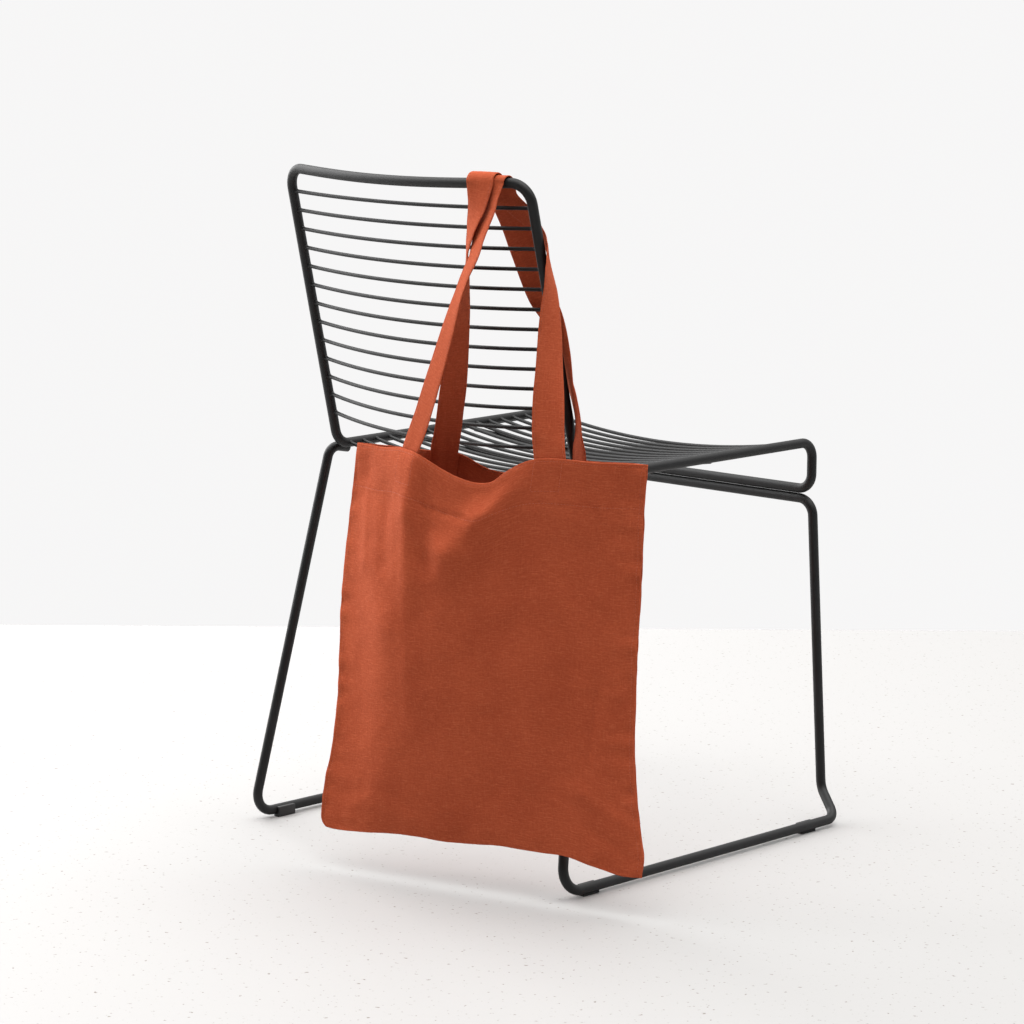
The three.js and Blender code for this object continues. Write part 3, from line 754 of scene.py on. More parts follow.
@dataclass(frozen=True)
class BagCut:
    """The bag's sizes when it lies flat, in millimetres, and shares of how it hangs.

    A hold is how far the seams keep the cloth still. Puckers have the lengths over which they start and die
    away. Layers have the place where a turned edge ends and the width of its step. Ends are how far a line
    of stitching stops short at its start and at its end.
    """

    width: float = 410.0
    depth: float = 440.0
    hem: float = 50.0
    margin: float = 95.0
    strap_width: float = 35.0
    foot: float = 38.0
    panel_thickness: float = 1.6
    cloth_thickness: float = 1.1
    seam_gap: float = 0.6
    dome_lean: float = 0.88
    dome_fullness: float = 0.7
    side_hold: float = 14.0
    end_hold: float = 22.0
    fine_hold: float = 6.0
    side_puckers: Pair = (3.0, 15.0)
    bottom_puckers: Pair = (3.0, 13.0)
    lip_puckers: Pair = (1.5, 7.0)
    hem_puckers: float = 6.0
    strap_thickness: float = 1.8
    strap_gap: float = 0.8
    turn: float = 13.2
    lip_reach: float = 1.3
    lip_reach_down: float = 3.2
    seam_inset: float = 5.5
    hem_line: float = 48.0
    lip_line: float = 3.2
    hem_layers: Pair = (49.6, 0.9)
    side_layers: Pair = (7.1, 1.0)
    bottom_layers: Pair = (433.0, 1.0)
    groove_depth: float = 0.30
    groove_width: float = 1.1
    lip_groove_share: float = 0.8
    lip_groove_width: float = 0.9
    fine_edge: float = 1.2
    rim: float = 0.15
    meeting_gap: float = 0.01
    meeting_layers: Pair = (0.6, 2.5)
    stitch_float: float = 0.05
    stitch: float = 2.6
    stitch_pitch: float = 3.4
    thread_radius: float = 0.17
    level_ends: Pair = (3.0, 4.0)
    seam_ends: Pair = (4.0, 6.0)
    foot_ends: Pair = (4.5, 4.0)
    foot_inset: float = 2.5
    foot_line: float = 3.0

    def feet(self) -> Pair:
        """Where the left and the right foot of a strap start along the lip."""
        return self.margin, self.width - self.margin - self.strap_width

    def stitch_run(self, first: float, last: float, ends: Pair) -> Array:
        """Start and end of each stitch in a line that stops short at both ends, one stitch to a row."""
        starts = np.arange(first + ends[0], last - ends[1], self.stitch_pitch)
        return np.stack([starts, starts + self.stitch], axis=1)


CUT = BagCut()

# Side seams and bottom seam: [share of the way, x, y, z]

LEFT_SEAM = Stations((
    (0, -34, -119, 484), (0.11, -37.2, -123.9, 435.5), (0.41, -41.3, -138.1, 306),
    (0.535, -39, -143.4, 249.4), (0.665, -36.9, -148.7, 192.6), (0.795, -40.2, -155.3, 135.1),
    (0.875, -45.7, -160.2, 100), (0.965, -47.5, -164.7, 60.3), (0.985, -45.4, -164.9, 52.5),
    (1, -40.2, -164.6, 47),
))
RIGHT_SEAM = Stations((
    (0, 329, -38, 489), (0.1, 325.5, -38.4, 445), (0.17, 326.7, -40.8, 413.8),
    (0.33, 329.4, -47.3, 344.1), (0.45, 330.6, -52.5, 290.2), (0.57, 333.2, -57.4, 236.4),
    (0.69, 336.6, -62.1, 182.6), (0.81, 344.3, -65.7, 129.2), (0.875, 349.8, -67.3, 101.7),
    (0.92, 354.6, -68.2, 81.7), (0.96, 357.9, -69, 65.8), (1, 357.1, -71.2, 45.5),
))
BOTTOM_SEAM = Stations((
    (0, -40.2, -164.6, 47), (0.03, -30, -162, 45.4), (0.14, 12, -152, 47.4), (0.21, 38.7, -145.5, 50.1),
    (0.3, 75.7, -136.6, 52), (0.4, 115.2, -127.5, 51.2), (0.49, 151.7, -118.6, 53.6),
    (0.57, 182.9, -111, 56), (0.645, 213.5, -103.9, 55.8), (0.7, 236.3, -98.6, 55.6),
    (0.757, 258.7, -93.3, 56.2), (0.787, 271.3, -90.4, 55), (0.835, 290.3, -86.4, 51.2),
    (0.88, 309.2, -82.3, 47.8), (0.943, 334.1, -76.9, 44), (1, 357.1, -71.2, 45.5),
))

# Lips: [distance along the cloth, x, y, z]

FRONT_LIP = Stations((
    (0, -34, -119, 484), (28, -5.2, -126.2, 485.1), (58, 22.1, -133, 486.2), (95, 58.2, -142, 490.2),
    (112.5, 75, -146, 489.8), (130, 92.3, -149.9, 488), (152, 112.2, -143.4, 477.6),
    (170, 125.6, -139.1, 471), (186, 139, -134.8, 465.7), (205, 156.3, -129.2, 461.3),
    (219, 169.5, -124.9, 461.1), (232, 180.6, -121.3, 463.8), (248, 194.9, -116.7, 474.9),
    (265, 210.6, -111.6, 484.8), (280, 226, -106.6, 491), (297.5, 242.5, -98.5, 493.3),
    (315, 258.6, -90.3, 493), (353, 289.8, -70.1, 490.5), (384, 313, -54, 490.2), (410, 329, -38, 489),
))
BACK_LIP = Stations((
    (0, -34, -119, 484), (50, 14, -107.5, 483.5), (95, 58.3, -96.7, 482.4), (112.5, 63.5, -80, 480.5),
    (130, 68, -63, 476.8), (148, 81.2, -58.5, 472.1), (167, 99, -52.3, 463.2), (186, 118, -45.8, 459.2),
    (205, 136, -39.5, 458.5), (224, 155, -33, 461), (243, 173, -26.5, 466), (262, 188, -21, 473),
    (280, 202.2, -17, 479.5), (297.5, 218, -24, 482), (315, 234.5, -30.5, 482.5), (345, 262, -31, 484),
    (380, 297, -30.5, 486.5), (410, 329, -38, 489),
))

# Folds, each along a straight line on the flat cloth:
# [from across, from down, to across, to down, half width, height]

FRONT_FOLDS = (
    (26, 18, 30, 26, 13, -4.5), (32, 50, 44, 130, 10, 2.0), (78, 44, 88, 126, 13, -2.6),
    (110, 20, 122, 60, 15, 2.0), (122, 60, 138, 140, 18, 2.6), (152, 20, 154, 110, 18, -4.5),
    (154, 110, 150, 170, 24, -2.2), (262, 26, 226, 46, 17, 6.0), (226, 46, 192, 96, 25, 9.0),
    (192, 96, 180, 116, 24, 4.0), (146, 52, 206, 45, 4, -1.3), (214, 11, 218, 11, 8, -2.2),
    (60, 140, 96, 200, 22, 2.0), (96, 200, 96, 370, 28, 2.4), (48, 200, 44, 370, 14, -1.0),
    (232, 62, 300, 70, 12, -1.3), (362, 250, 354, 330, 7, -1.8), (332, 60, 326, 160, 16, 1.5),
    (240, 55, 402, 50, 22, 2.8), (130, 62, 240, 57, 22, 2.2), (22, 48, 86, 60, 24, -3.2),
    (158, 92, 210, 90, 15, 2.6), (12, 402, 60, 390, 10, -2.0), (60, 396, 130, 420, 12, 1.8),
    (400, 424, 352, 402, 10, -2.6), (396, 384, 340, 360, 12, 2.0),
)
BACK_FOLDS = (
    (112, 5, 106, 140, 14, 3.5), (205, 20, 190, 220, 34, -3.0), (298, 10, 280, 150, 20, 3.0),
    (60, 200, 70, 380, 30, 2.5), (340, 220, 350, 400, 30, 2.5),
)


# Small waves: [height, spacing across, spacing down], in the order of Panel.crumple's shares

CRUMPLES = (
    (1.1, 64, 90), (0.5, 26, 24), (0.22, 12, 8), (0.09, 5, 4), (3.2, 46, 13), (2.2, 15, 40), (1.1, 9, 60),
    (0.5, 7, 60),
)

# How far a panel stands out across its width: [share of the width, share of its puff]

FRONT_PUFF = Stations((
    (0, 0), (0.04, 0.06), (0.08, 0.2), (0.13, 0.44), (0.2, 0.71), (0.28, 0.9), (0.36, 0.98),
    (0.45, 0.95), (0.55, 0.82), (0.65, 0.65), (0.8, 0.38), (0.9, 0.2), (1, 0),
))
BACK_PUFF = Stations((
    (0, 0), (0.15, 0.6), (0.5, 1.0), (0.85, 0.6), (1, 0),
))


@dataclass(frozen=True)
class Panel:
    """One of the bag's two cloths as it hangs: distances across and down its flat shape give places."""

    side: Side
    lip: Stations
    folds: tuple[tuple[float, ...], ...]
    puff_shape: Stations
    puff: float
    seed: int

    def between_seams(self, u: Array, t: Array) -> Array:
        """The smooth surface between the seams: across plus down minus the flat patch through the corners."""
        left, right = LEFT_SEAM.at(t), RIGHT_SEAM.at(t)
        corners = [line.at(np.array(end)) for end in (0.0, 1.0) for line in (LEFT_SEAM, RIGHT_SEAM)]
        u, t = u[..., None], t[..., None]
        top = corners[0] * (1 - u) + corners[1] * u
        bottom = BOTTOM_SEAM.at(u[..., 0])
        flat = top * (1 - t) + (corners[2] * (1 - u) + corners[3] * u) * t
        return left * (1 - u) + right * u + top * (1 - t) + bottom * t - flat

    def fold_height(self, s: Array, h: Array) -> Array:
        """Height of the folds: for each, its height times exp of minus the square of the distance from its
        line over its half width. All fade out close to the seams and the lip, which hold the cloth."""
        total = np.zeros(np.broadcast(s, h).shape)
        for s0, h0, s1, h1, width, height in self.folds:
            ds, dh = s1 - s0, h1 - h0
            along = np.clip(((s - s0) * ds + (h - h0) * dh) / (ds * ds + dh * dh), 0, 1)
            apart = (s - s0 - along * ds) ** 2 + (h - h0 - along * dh) ** 2
            total = total + height * np.exp(-apart / width**2)
        return total * self.freedom(s, h)

    def freedom(self, s: Array, h: Array) -> Array:
        """How free the cloth is to move out of its plane, from 0 at its edges to 1 inside."""
        sides = grown(s, CUT.side_hold) * grown(CUT.width - s, CUT.side_hold)
        ends = grown(h, CUT.end_hold) * grown(CUT.depth - h, CUT.end_hold)
        return sides * ends

    def crumple(self, s: Array, h: Array) -> Array:
        """Small waves: two broad and two fine ones all over, then puckers beside the side seams, over the
        bottom seam, along the hem's stitching and on the lip."""
        inner = np.minimum(s, CUT.width - s)
        broad, fine = self.freedom(s, h), grown(inner, CUT.fine_hold)
        beside, below = pucker(inner, *CUT.side_puckers), pucker(CUT.depth - h, *CUT.bottom_puckers)
        hem, lip = np.exp(-np.abs(h - CUT.hem) / CUT.hem_puckers), pucker(h, *CUT.lip_puckers)
        total = np.zeros(np.broadcast(s, h).shape)
        for k, share in enumerate((broad, broad, fine, fine, beside, below, hem, lip)):
            height, *cell = CRUMPLES[k]
            total = total + height * Ripple(self.seed + k, cell).at(s, h) * share
        return total

    def middle(self, s: Array, h: Array) -> Array:
        """Places on the cloth's middle surface.

        The lip's own line is reached from the surface between the seams by an offset that dies away down
        the bag. A puff, the folds and the small waves stand out from that. The puff is the table's shape
        across, times a leaning power of sine down.

        Args:
            s: Distances across the flat cloth, in millimetres.
            h: Distances down it.

        Returns:
            The places, in millimetres.
        """
        u, t = s / CUT.width, h / CUT.depth
        offset = self.lip.at(s) - self.between_seams(u, np.zeros_like(t))
        reach = np.stack([(1 - t) ** CUT.lip_reach] * 2 + [(1 - t) ** CUT.lip_reach_down], axis=-1)
        turn = math.radians(CUT.turn)
        outward = np.array([math.sin(turn), -math.cos(turn), 0.0]) * self.side.value
        dome = self.puff_shape.at(u)[..., 0] * np.abs(np.sin(np.pi * t**CUT.dome_lean)) ** CUT.dome_fullness
        out = (CUT.panel_thickness + CUT.seam_gap) / 2 + self.puff * dome
        out = out + self.fold_height(s, h) + self.crumple(s, h)
        return self.between_seams(u, t) + offset * reach + out[..., None] * outward

    def lifted(self, s: Array, h: Array, lift: Array | float) -> Array:
        """Places off the middle surface, along its outward normal.

        Args:
            s: Distances across, as a grid or a list.
            h: Distances down.
            lift: How far outwards, in millimetres.

        Returns:
            The places, in millimetres.
        """
        lift = np.broadcast_to(np.asarray(lift, float), s.shape)[..., None]
        return self.middle(s, h) + self.outward(s, h) * lift

    def outward(self, s: Array, h: Array) -> Array:
        """Outward normal, from places half a millimetre away each way."""
        d = 0.5
        low, high = np.clip(s - d, 0, CUT.width), np.clip(s + d, 0, CUT.width)
        up, down = np.clip(h - d, 0, CUT.depth), np.clip(h + d, 0, CUT.depth)
        along = self.middle(high, h) - self.middle(low, h)
        across = self.middle(s, down) - self.middle(s, up)
        return unit(np.cross(across, along)) * self.side.value

    def half_thickness(self, s: Array, h: Array) -> Array:
        """Half the cloth's thickness: one layer in the body, more in the hem and at the seams."""
        hem = 1 - ease(*CUT.hem_layers, h)
        sides = 1 - ease(*CUT.side_layers, np.minimum(s, CUT.width - s))
        layers = np.maximum(np.maximum(hem, sides), ease(*CUT.bottom_layers, h))
        thin, thick = CUT.cloth_thickness / 2, CUT.panel_thickness / 2
        return thin + (thick - thin) * layers

    def groove(self, s: Array, h: Array) -> Array:
        """How deep the stitching pulls the outer side in, in millimetres."""
        inner = np.minimum(s, CUT.width - s)
        lines = ridge(h - CUT.hem_line, CUT.groove_width) + ridge(inner - CUT.seam_inset, CUT.groove_width)
        lip = CUT.lip_groove_share * ridge(h - CUT.lip_line, CUT.lip_groove_width)
        return CUT.groove_depth * np.minimum(lines + lip, 1.0)

    def build(self, name: str) -> Object:
        """The panel as a closed thin sheet.

        Its outer side is rounded down over the last millimetre of each edge, and the inner side of a seam's
        edge reaches the bag's middle, where it meets the other panel.

        Args:
            name: The piece's name.

        Returns:
            The piece.
        """
        e, w, d = CUT.fine_edge, CUT.width, CUT.depth
        across = stations((0, e, 4), (e, 9, 6), (9, w - 9, 150), (w - 9, w - e, 6), (w - e, w, 4))
        hem = ((0, e, 4), (e, 6, 4), (6, 47, 16), (47, 52, 5))
        down = stations(*hem, (52, d - 6, 142), (d - 6, d - e, 4), (d - e, d, 4))
        s, h = np.meshgrid(across, down)
        if self.side is Side.BACK:
            s = s[:, ::-1]
        inner = np.minimum(s, w - s)
        outer_round = quarter_round(np.minimum(np.minimum(inner, h), d - h))
        lip_round = quarter_round(h)
        half = self.half_thickness(s, h)
        seam = 1 - ease(*CUT.meeting_layers, np.minimum(inner, d - h))
        closing = (CUT.seam_gap / 2 - CUT.meeting_gap) * seam
        rise, sink = (half * (CUT.rim + (1 - CUT.rim) * share) for share in (outer_round, lip_round))
        outer = self.lifted(s, h, rise - self.groove(s, h) * outer_round)
        under = self.lifted(s, h, -sink - closing * lip_round)
        return sheet_object(name, PLACEMENT.put(outer), PLACEMENT.put(under), np.stack([s, h], axis=-1) * MM)

    def stitch_lines(self) -> list[tuple[Array, Array, float]]:
        """Lines of stitching: along the hem and the lip on both sides, along the side seams, and the box that
        holds each foot of a strap.

        Returns:
            For each line the distances across and down of its stitches' starts and ends, and 1 or -1 for the
            outer or the inner side.
        """
        level = CUT.stitch_run(0, CUT.width, CUT.level_ends)
        seam = CUT.stitch_run(0, CUT.depth, CUT.seam_ends)
        heights, insets = (CUT.hem_line, CUT.lip_line), (CUT.seam_inset, CUT.width - CUT.seam_inset)
        lines = [(level, np.full_like(level, height), sign) for height in heights for sign in (1.0, -1.0)]
        lines += [(np.full_like(seam, inset), seam, 1.0) for inset in insets]
        upright = CUT.stitch_run(0, CUT.foot, CUT.foot_ends)
        for foot in CUT.feet():
            level = CUT.stitch_run(foot, foot + CUT.strap_width, CUT.level_ends)
            insets = (foot + CUT.foot_inset, foot + CUT.strap_width - CUT.foot_inset)
            lines += [(np.full_like(upright, inset), upright, 1.0) for inset in insets]
            lines.append((level, np.full_like(level, CUT.foot - CUT.foot_line), 1.0))
        return lines

    def stitches(self, name: str) -> Object:
        """All the panel's stitches that show."""
        lines = self.stitch_lines()
        s, h = (np.concatenate([line[k] for line in lines]) for k in (0, 1))
        sign = np.concatenate([np.full(len(line[0]), line[2]) for line in lines])[:, None]
        lift = sign * (self.half_thickness(s, h) + CUT.stitch_float)
        lift = lift - np.where(sign > 0, self.groove(s, h), 0)
        ends = PLACEMENT.put(self.lifted(s, h, lift))
        out = self.outward(s.mean(axis=1), h.mean(axis=1)) * sign
        return stitch_object(name, ends[:, 0], ends[:, 1], out, CUT.thread_radius * MM)


# Handles, from the left foot upwards to the top rail, and from there down to the right foot:
# [x, y, z, direction across the strap in degrees from +X]

FRONT_HANDLE_UP = (
    (91, -143, 525, -15), (103.3, -139, 564.1, -17), (119.5, -132, 621.8, -23),
    (128.9, -126, 659.7, -31), (136.6, -121.3, 684.8, -32), (145.1, -116.8, 706, -30),
    (144.6, -110.3, 721.3, -27), (145, -105, 735, -23), (148.9, -99, 754.3, -21),
    (147.6, -96.2, 767.9, -10),
)
FRONT_HANDLE_DOWN = (
    (150, -72.5, 768, 4), (161, -61.5, 752, 2), (170, -54, 741, -8), (181, -47.5, 727, -32),
    (189.5, -49, 713.5, -42), (197, -54, 702, -48), (203.9, -59.5, 690, -56),
    (209.2, -64.2, 678.1, -65), (212, -67.2, 653.6, -81), (215.4, -71, 624.9, -93),
    (222.2, -79, 582.7, -105), (231, -89.4, 541, -130), (236.5, -95, 515, -140),
)
BACK_HANDLE_UP = (
    (73.2, -80, 527.3, -104), (78, -80, 555.7, -103), (88.5, -83, 614.4, -88),
    (98.1, -86, 651.6, -69.5), (103.5, -87.5, 677.3, -57), (110.2, -92.7, 701.1, -46),
    (116.4, -97.9, 716.1, -41), (124, -101.8, 731, -32), (130.3, -101, 751, -18),
    (134.5, -101, 765.4, -6),
)
BACK_HANDLE_DOWN = (
    (132, -66.9, 767.5, 6), (132.8, -53.6, 750, 5), (138.8, -45.6, 730, 9), (151.3, -42.3, 705, 16),
    (164.9, -41.3, 677.5, 16), (176.2, -40.3, 655, 8), (185.2, -36, 636.6, 0), (189.8, -26.8, 603, -11),
    (195.8, -18.2, 565, -33), (205.8, -20.5, 545, -37), (213.4, -23.2, 525, -38),
    (216, -24.8, 505, -35),
)


@dataclass(frozen=True)
class OverRail:
    """A strap's way over the top rail, in millimetres and degrees."""

    bag_x: float
    seat_x: float
    reach: float
    turn: float = 9.5
    angles: tuple[float, ...] = (175, 150, 120, 90, 60, 30, 5)


@dataclass(frozen=True)
class Handle:
    """A strap of folded linen, sewn inside the hem at both ends."""

    panel: Panel
    up: tuple[Row, ...]
    over: OverRail
    down: tuple[Row, ...]
    seed: int
    step: float = 2.2
    blend: float = 28.0
    stitch_inset: float = 2.6
    edge_power: float = 14.0
    rim: float = 0.12
    groove_depth: float = 0.22
    groove_width: float = 0.9
    unevenness: float = 0.06
    uneven_cell: Pair = (6, 7)
    wave: float = 0.12
    wave_cell: Pair = (14, 16)
    stitch_sink: float = 0.12
    stitch_ends: Pair = (2.0, 4.0)
    columns: int = 19
    crowding: float = 0.97
    foot_rows: int = 18

    def across_shares(self) -> Array:
        """Places across the strap from -1 to 1, closer together near its edges."""
        reach = np.pi / 2 * self.crowding
        return np.sin(np.linspace(-1, 1, self.columns) * reach) / math.sin(reach)

    def foot(self, start: float, flip: bool) -> Array:
        """Rows of a foot from the lip down, on the inner side of the hem.

        Args:
            start: Where the foot starts along the lip.
            flip: True if the strap's first edge is the foot's far edge.

        Returns:
            A grid of places, in millimetres.
        """
        share = self.across_shares() * (-1 if flip else 1)
        h = np.linspace(0, CUT.foot, self.foot_rows)
        s, h = np.meshgrid(start + CUT.strap_width * (share + 1) / 2, h)
        inwards = (CUT.panel_thickness + CUT.strap_thickness) / 2 + CUT.strap_gap
        return self.panel.lifted(s, h, -inwards)

    def rail_rows(self) -> list[Row]:
        """Rows of the table where the strap lies over the top rail."""
        over = self.over
        rows = []
        for k, turn in enumerate(np.radians(over.angles)):
            x = over.bag_x + (over.seat_x - over.bag_x) * k / (len(over.angles) - 1)
            _, y, z = WIRE.rail_centre(np.array([x]))[0]
            rows.append((x, y + over.reach * math.cos(turn), z + over.reach * math.sin(turn), over.turn))
        return rows

    def rows(self) -> Array:
        """The whole strap's middle surface, from the bottom of the left foot to the bottom of the right one.

        Between the feet the centre line is a spline through the table. Across it the strap runs along the
        table's direction, made square to the centre line. Close to a foot the shape across blends into the
        foot's own.

        Returns:
            A grid of places, in millimetres.
        """
        front = self.panel.side is Side.FRONT
        left, right = (self.foot(start, flip) for start, flip in zip(CUT.feet(), (not front, front)))
        table = np.array([*self.up, *self.rail_rows(), *self.down])
        ends = [left[0], right[0]]
        middle = left.shape[1] // 2
        centres = np.concatenate([ends[0][None, middle], table[:, :3], ends[1][None, middle]])
        lead = [math.degrees(math.atan2(*(end[-1] - end[0])[[1, 0]])) for end in ends]
        angles = np.degrees(np.unwrap(np.radians([lead[0], *table[:, 3], lead[1]])))
        counts = np.round(np.linalg.norm(np.diff(centres, axis=0), axis=1) / self.step)
        counts = np.maximum(1, counts).astype(int)
        keys = np.concatenate([k + np.arange(count) / count for k, count in enumerate(counts)])[1:]
        centre, run = catmull(centres, keys)
        turn = np.radians(catmull(angles[:, None], keys, even=True)[0][:, 0])
        level = np.stack([np.cos(turn), np.sin(turn), np.zeros_like(turn)], axis=1)
        run = unit(run)
        square = unit(level - run * np.sum(level * run, axis=1, keepdims=True))
        straight = square[:, None] * self.across_shares()[None, :, None] * CUT.strap_width / 2
        along = travelled(centre)
        for end, away in ((ends[0], along), (ends[1], along[-1] - along)):
            hold = (1 - ease(0.0, self.blend, away))[:, None, None]
            straight = straight * (1 - hold) + (end - end[middle])[None] * hold
        return np.concatenate([left[::-1], centre[:, None] + straight, right])

    def half_thickness(self, across: Array, along: Array) -> Array:
        """Half the strap's thickness: full inside, rounded at the folded edges, drawn in at the two stitched
        lines, and slightly uneven along its length."""
        body = np.sqrt(np.clip(1 - np.abs(across) ** self.edge_power, 0, 1))
        apart = np.abs(across) * CUT.strap_width / 2 - self.line()
        uneven = Ripple(self.seed, self.uneven_cell).at((across + 1) * CUT.strap_width, along)
        groove = self.groove_depth * ridge(apart, self.groove_width)
        half = CUT.strap_thickness / 2 - groove + self.unevenness * uneven
        return half * np.maximum(body, self.rim)

    def line(self) -> float:
        """How far the stitched lines are from the strap's middle."""
        return CUT.strap_width / 2 - self.stitch_inset

    def build(self, name: str) -> tuple[Object, float]:
        """The strap as a closed sheet.

        Args:
            name: The piece's name.

        Returns:
            The piece and its length in metres.
        """
        grid = self.rows()
        across, along = np.meshgrid(self.across_shares(), travelled(grid[:, grid.shape[1] // 2]))
        normals = surface_normals(grid)
        half = self.half_thickness(across, along)[..., None]
        waves = Ripple(self.seed + 1, self.wave_cell).at((across + 1) * CUT.strap_width, along)
        wave = self.wave * waves[..., None]
        outer = PLACEMENT.put(grid + normals * (wave + half))
        inner = PLACEMENT.put(grid + normals * (wave - half))
        uv = np.stack([across * CUT.strap_width / 2, along], axis=-1) * MM
        return sheet_object(name, outer, inner, uv), float(along[-1, 0]) * MM

    def stitches(self, name: str) -> Object:
        """Two lines of stitching on each face of the strap."""
        grid = self.rows()
        last = grid.shape[1] - 1
        along, normals = travelled(grid[:, last // 2]), surface_normals(grid)
        starts = CUT.stitch_run(CUT.foot, along[-1] - CUT.foot, self.stitch_ends)[:, 0]
        column = np.interp(self.line() / (CUT.strap_width / 2), self.across_shares(), np.arange(last + 1))
        low = int(column)
        parts = []
        for i, j in ((last - low, last - low - 1), (low, low + 1)):
            line = grid[:, i] * (1 - column + low) + grid[:, j] * (column - low)
            for face in (-1, 1):
                raised = line + normals[:, i] * face * (CUT.strap_thickness / 2 - self.stitch_sink)
                ends = [read_along(keys, along, raised) for keys in (starts, starts + CUT.stitch)]
                parts.append((*ends, read_along(starts, along, normals[:, i]) * face))
        first, second, facing = (np.concatenate(part) for part in zip(*parts))
        ends = PLACEMENT.put(first), PLACEMENT.put(second)
        return stitch_object(name, *ends, facing, CUT.thread_radius * MM)


class ShoppingBag:
    """The bag: two panels and two handles, with their stitching."""

    def __init__(self) -> None:
        """Makes the finishes that the bag's pieces share."""
        self.panel_cloth = Linen("rust_linen").build()
        self.strap_cloth = Linen("strap_linen_cloth", slub_height=0.08 * MM, crease_height=0.25 * MM).build()
        self.thread = Thread().build()

    def build(self) -> None:
        """Makes and dresses every piece of the bag."""
        panels = {
            "front": Panel(Side.FRONT, FRONT_LIP, FRONT_FOLDS, FRONT_PUFF, puff=27.0, seed=11),
            "back": Panel(Side.BACK, BACK_LIP, BACK_FOLDS, BACK_PUFF, puff=9.0, seed=31),
        }
        near, far = OverRail(bag_x=147, seat_x=148, reach=7.8), OverRail(bag_x=136.5, seat_x=131, reach=11.6)
        handles = {
            "front": Handle(panels["front"], FRONT_HANDLE_UP, near, FRONT_HANDLE_DOWN, seed=51),
            "back": Handle(panels["back"], BACK_HANDLE_UP, far, BACK_HANDLE_DOWN, seed=71),
        }
        for side, panel in panels.items():
            cloth = dress(panel.build(f"{side}_cloth"), self.panel_cloth, Slot.PANEL, f"{side}_panel")
            sewing = dress(panel.stitches(f"{side}_cloth_stitching"), self.thread, Slot.PANEL)
            strap, length = handles[side].build(f"{side}_strap")
            dress(strap, self.strap_cloth, Slot.STRAP, f"{side}_handle")
            strap_sewing = dress(handles[side].stitches(f"{side}_strap_stitching"), self.thread, Slot.STRAP)


# The chair


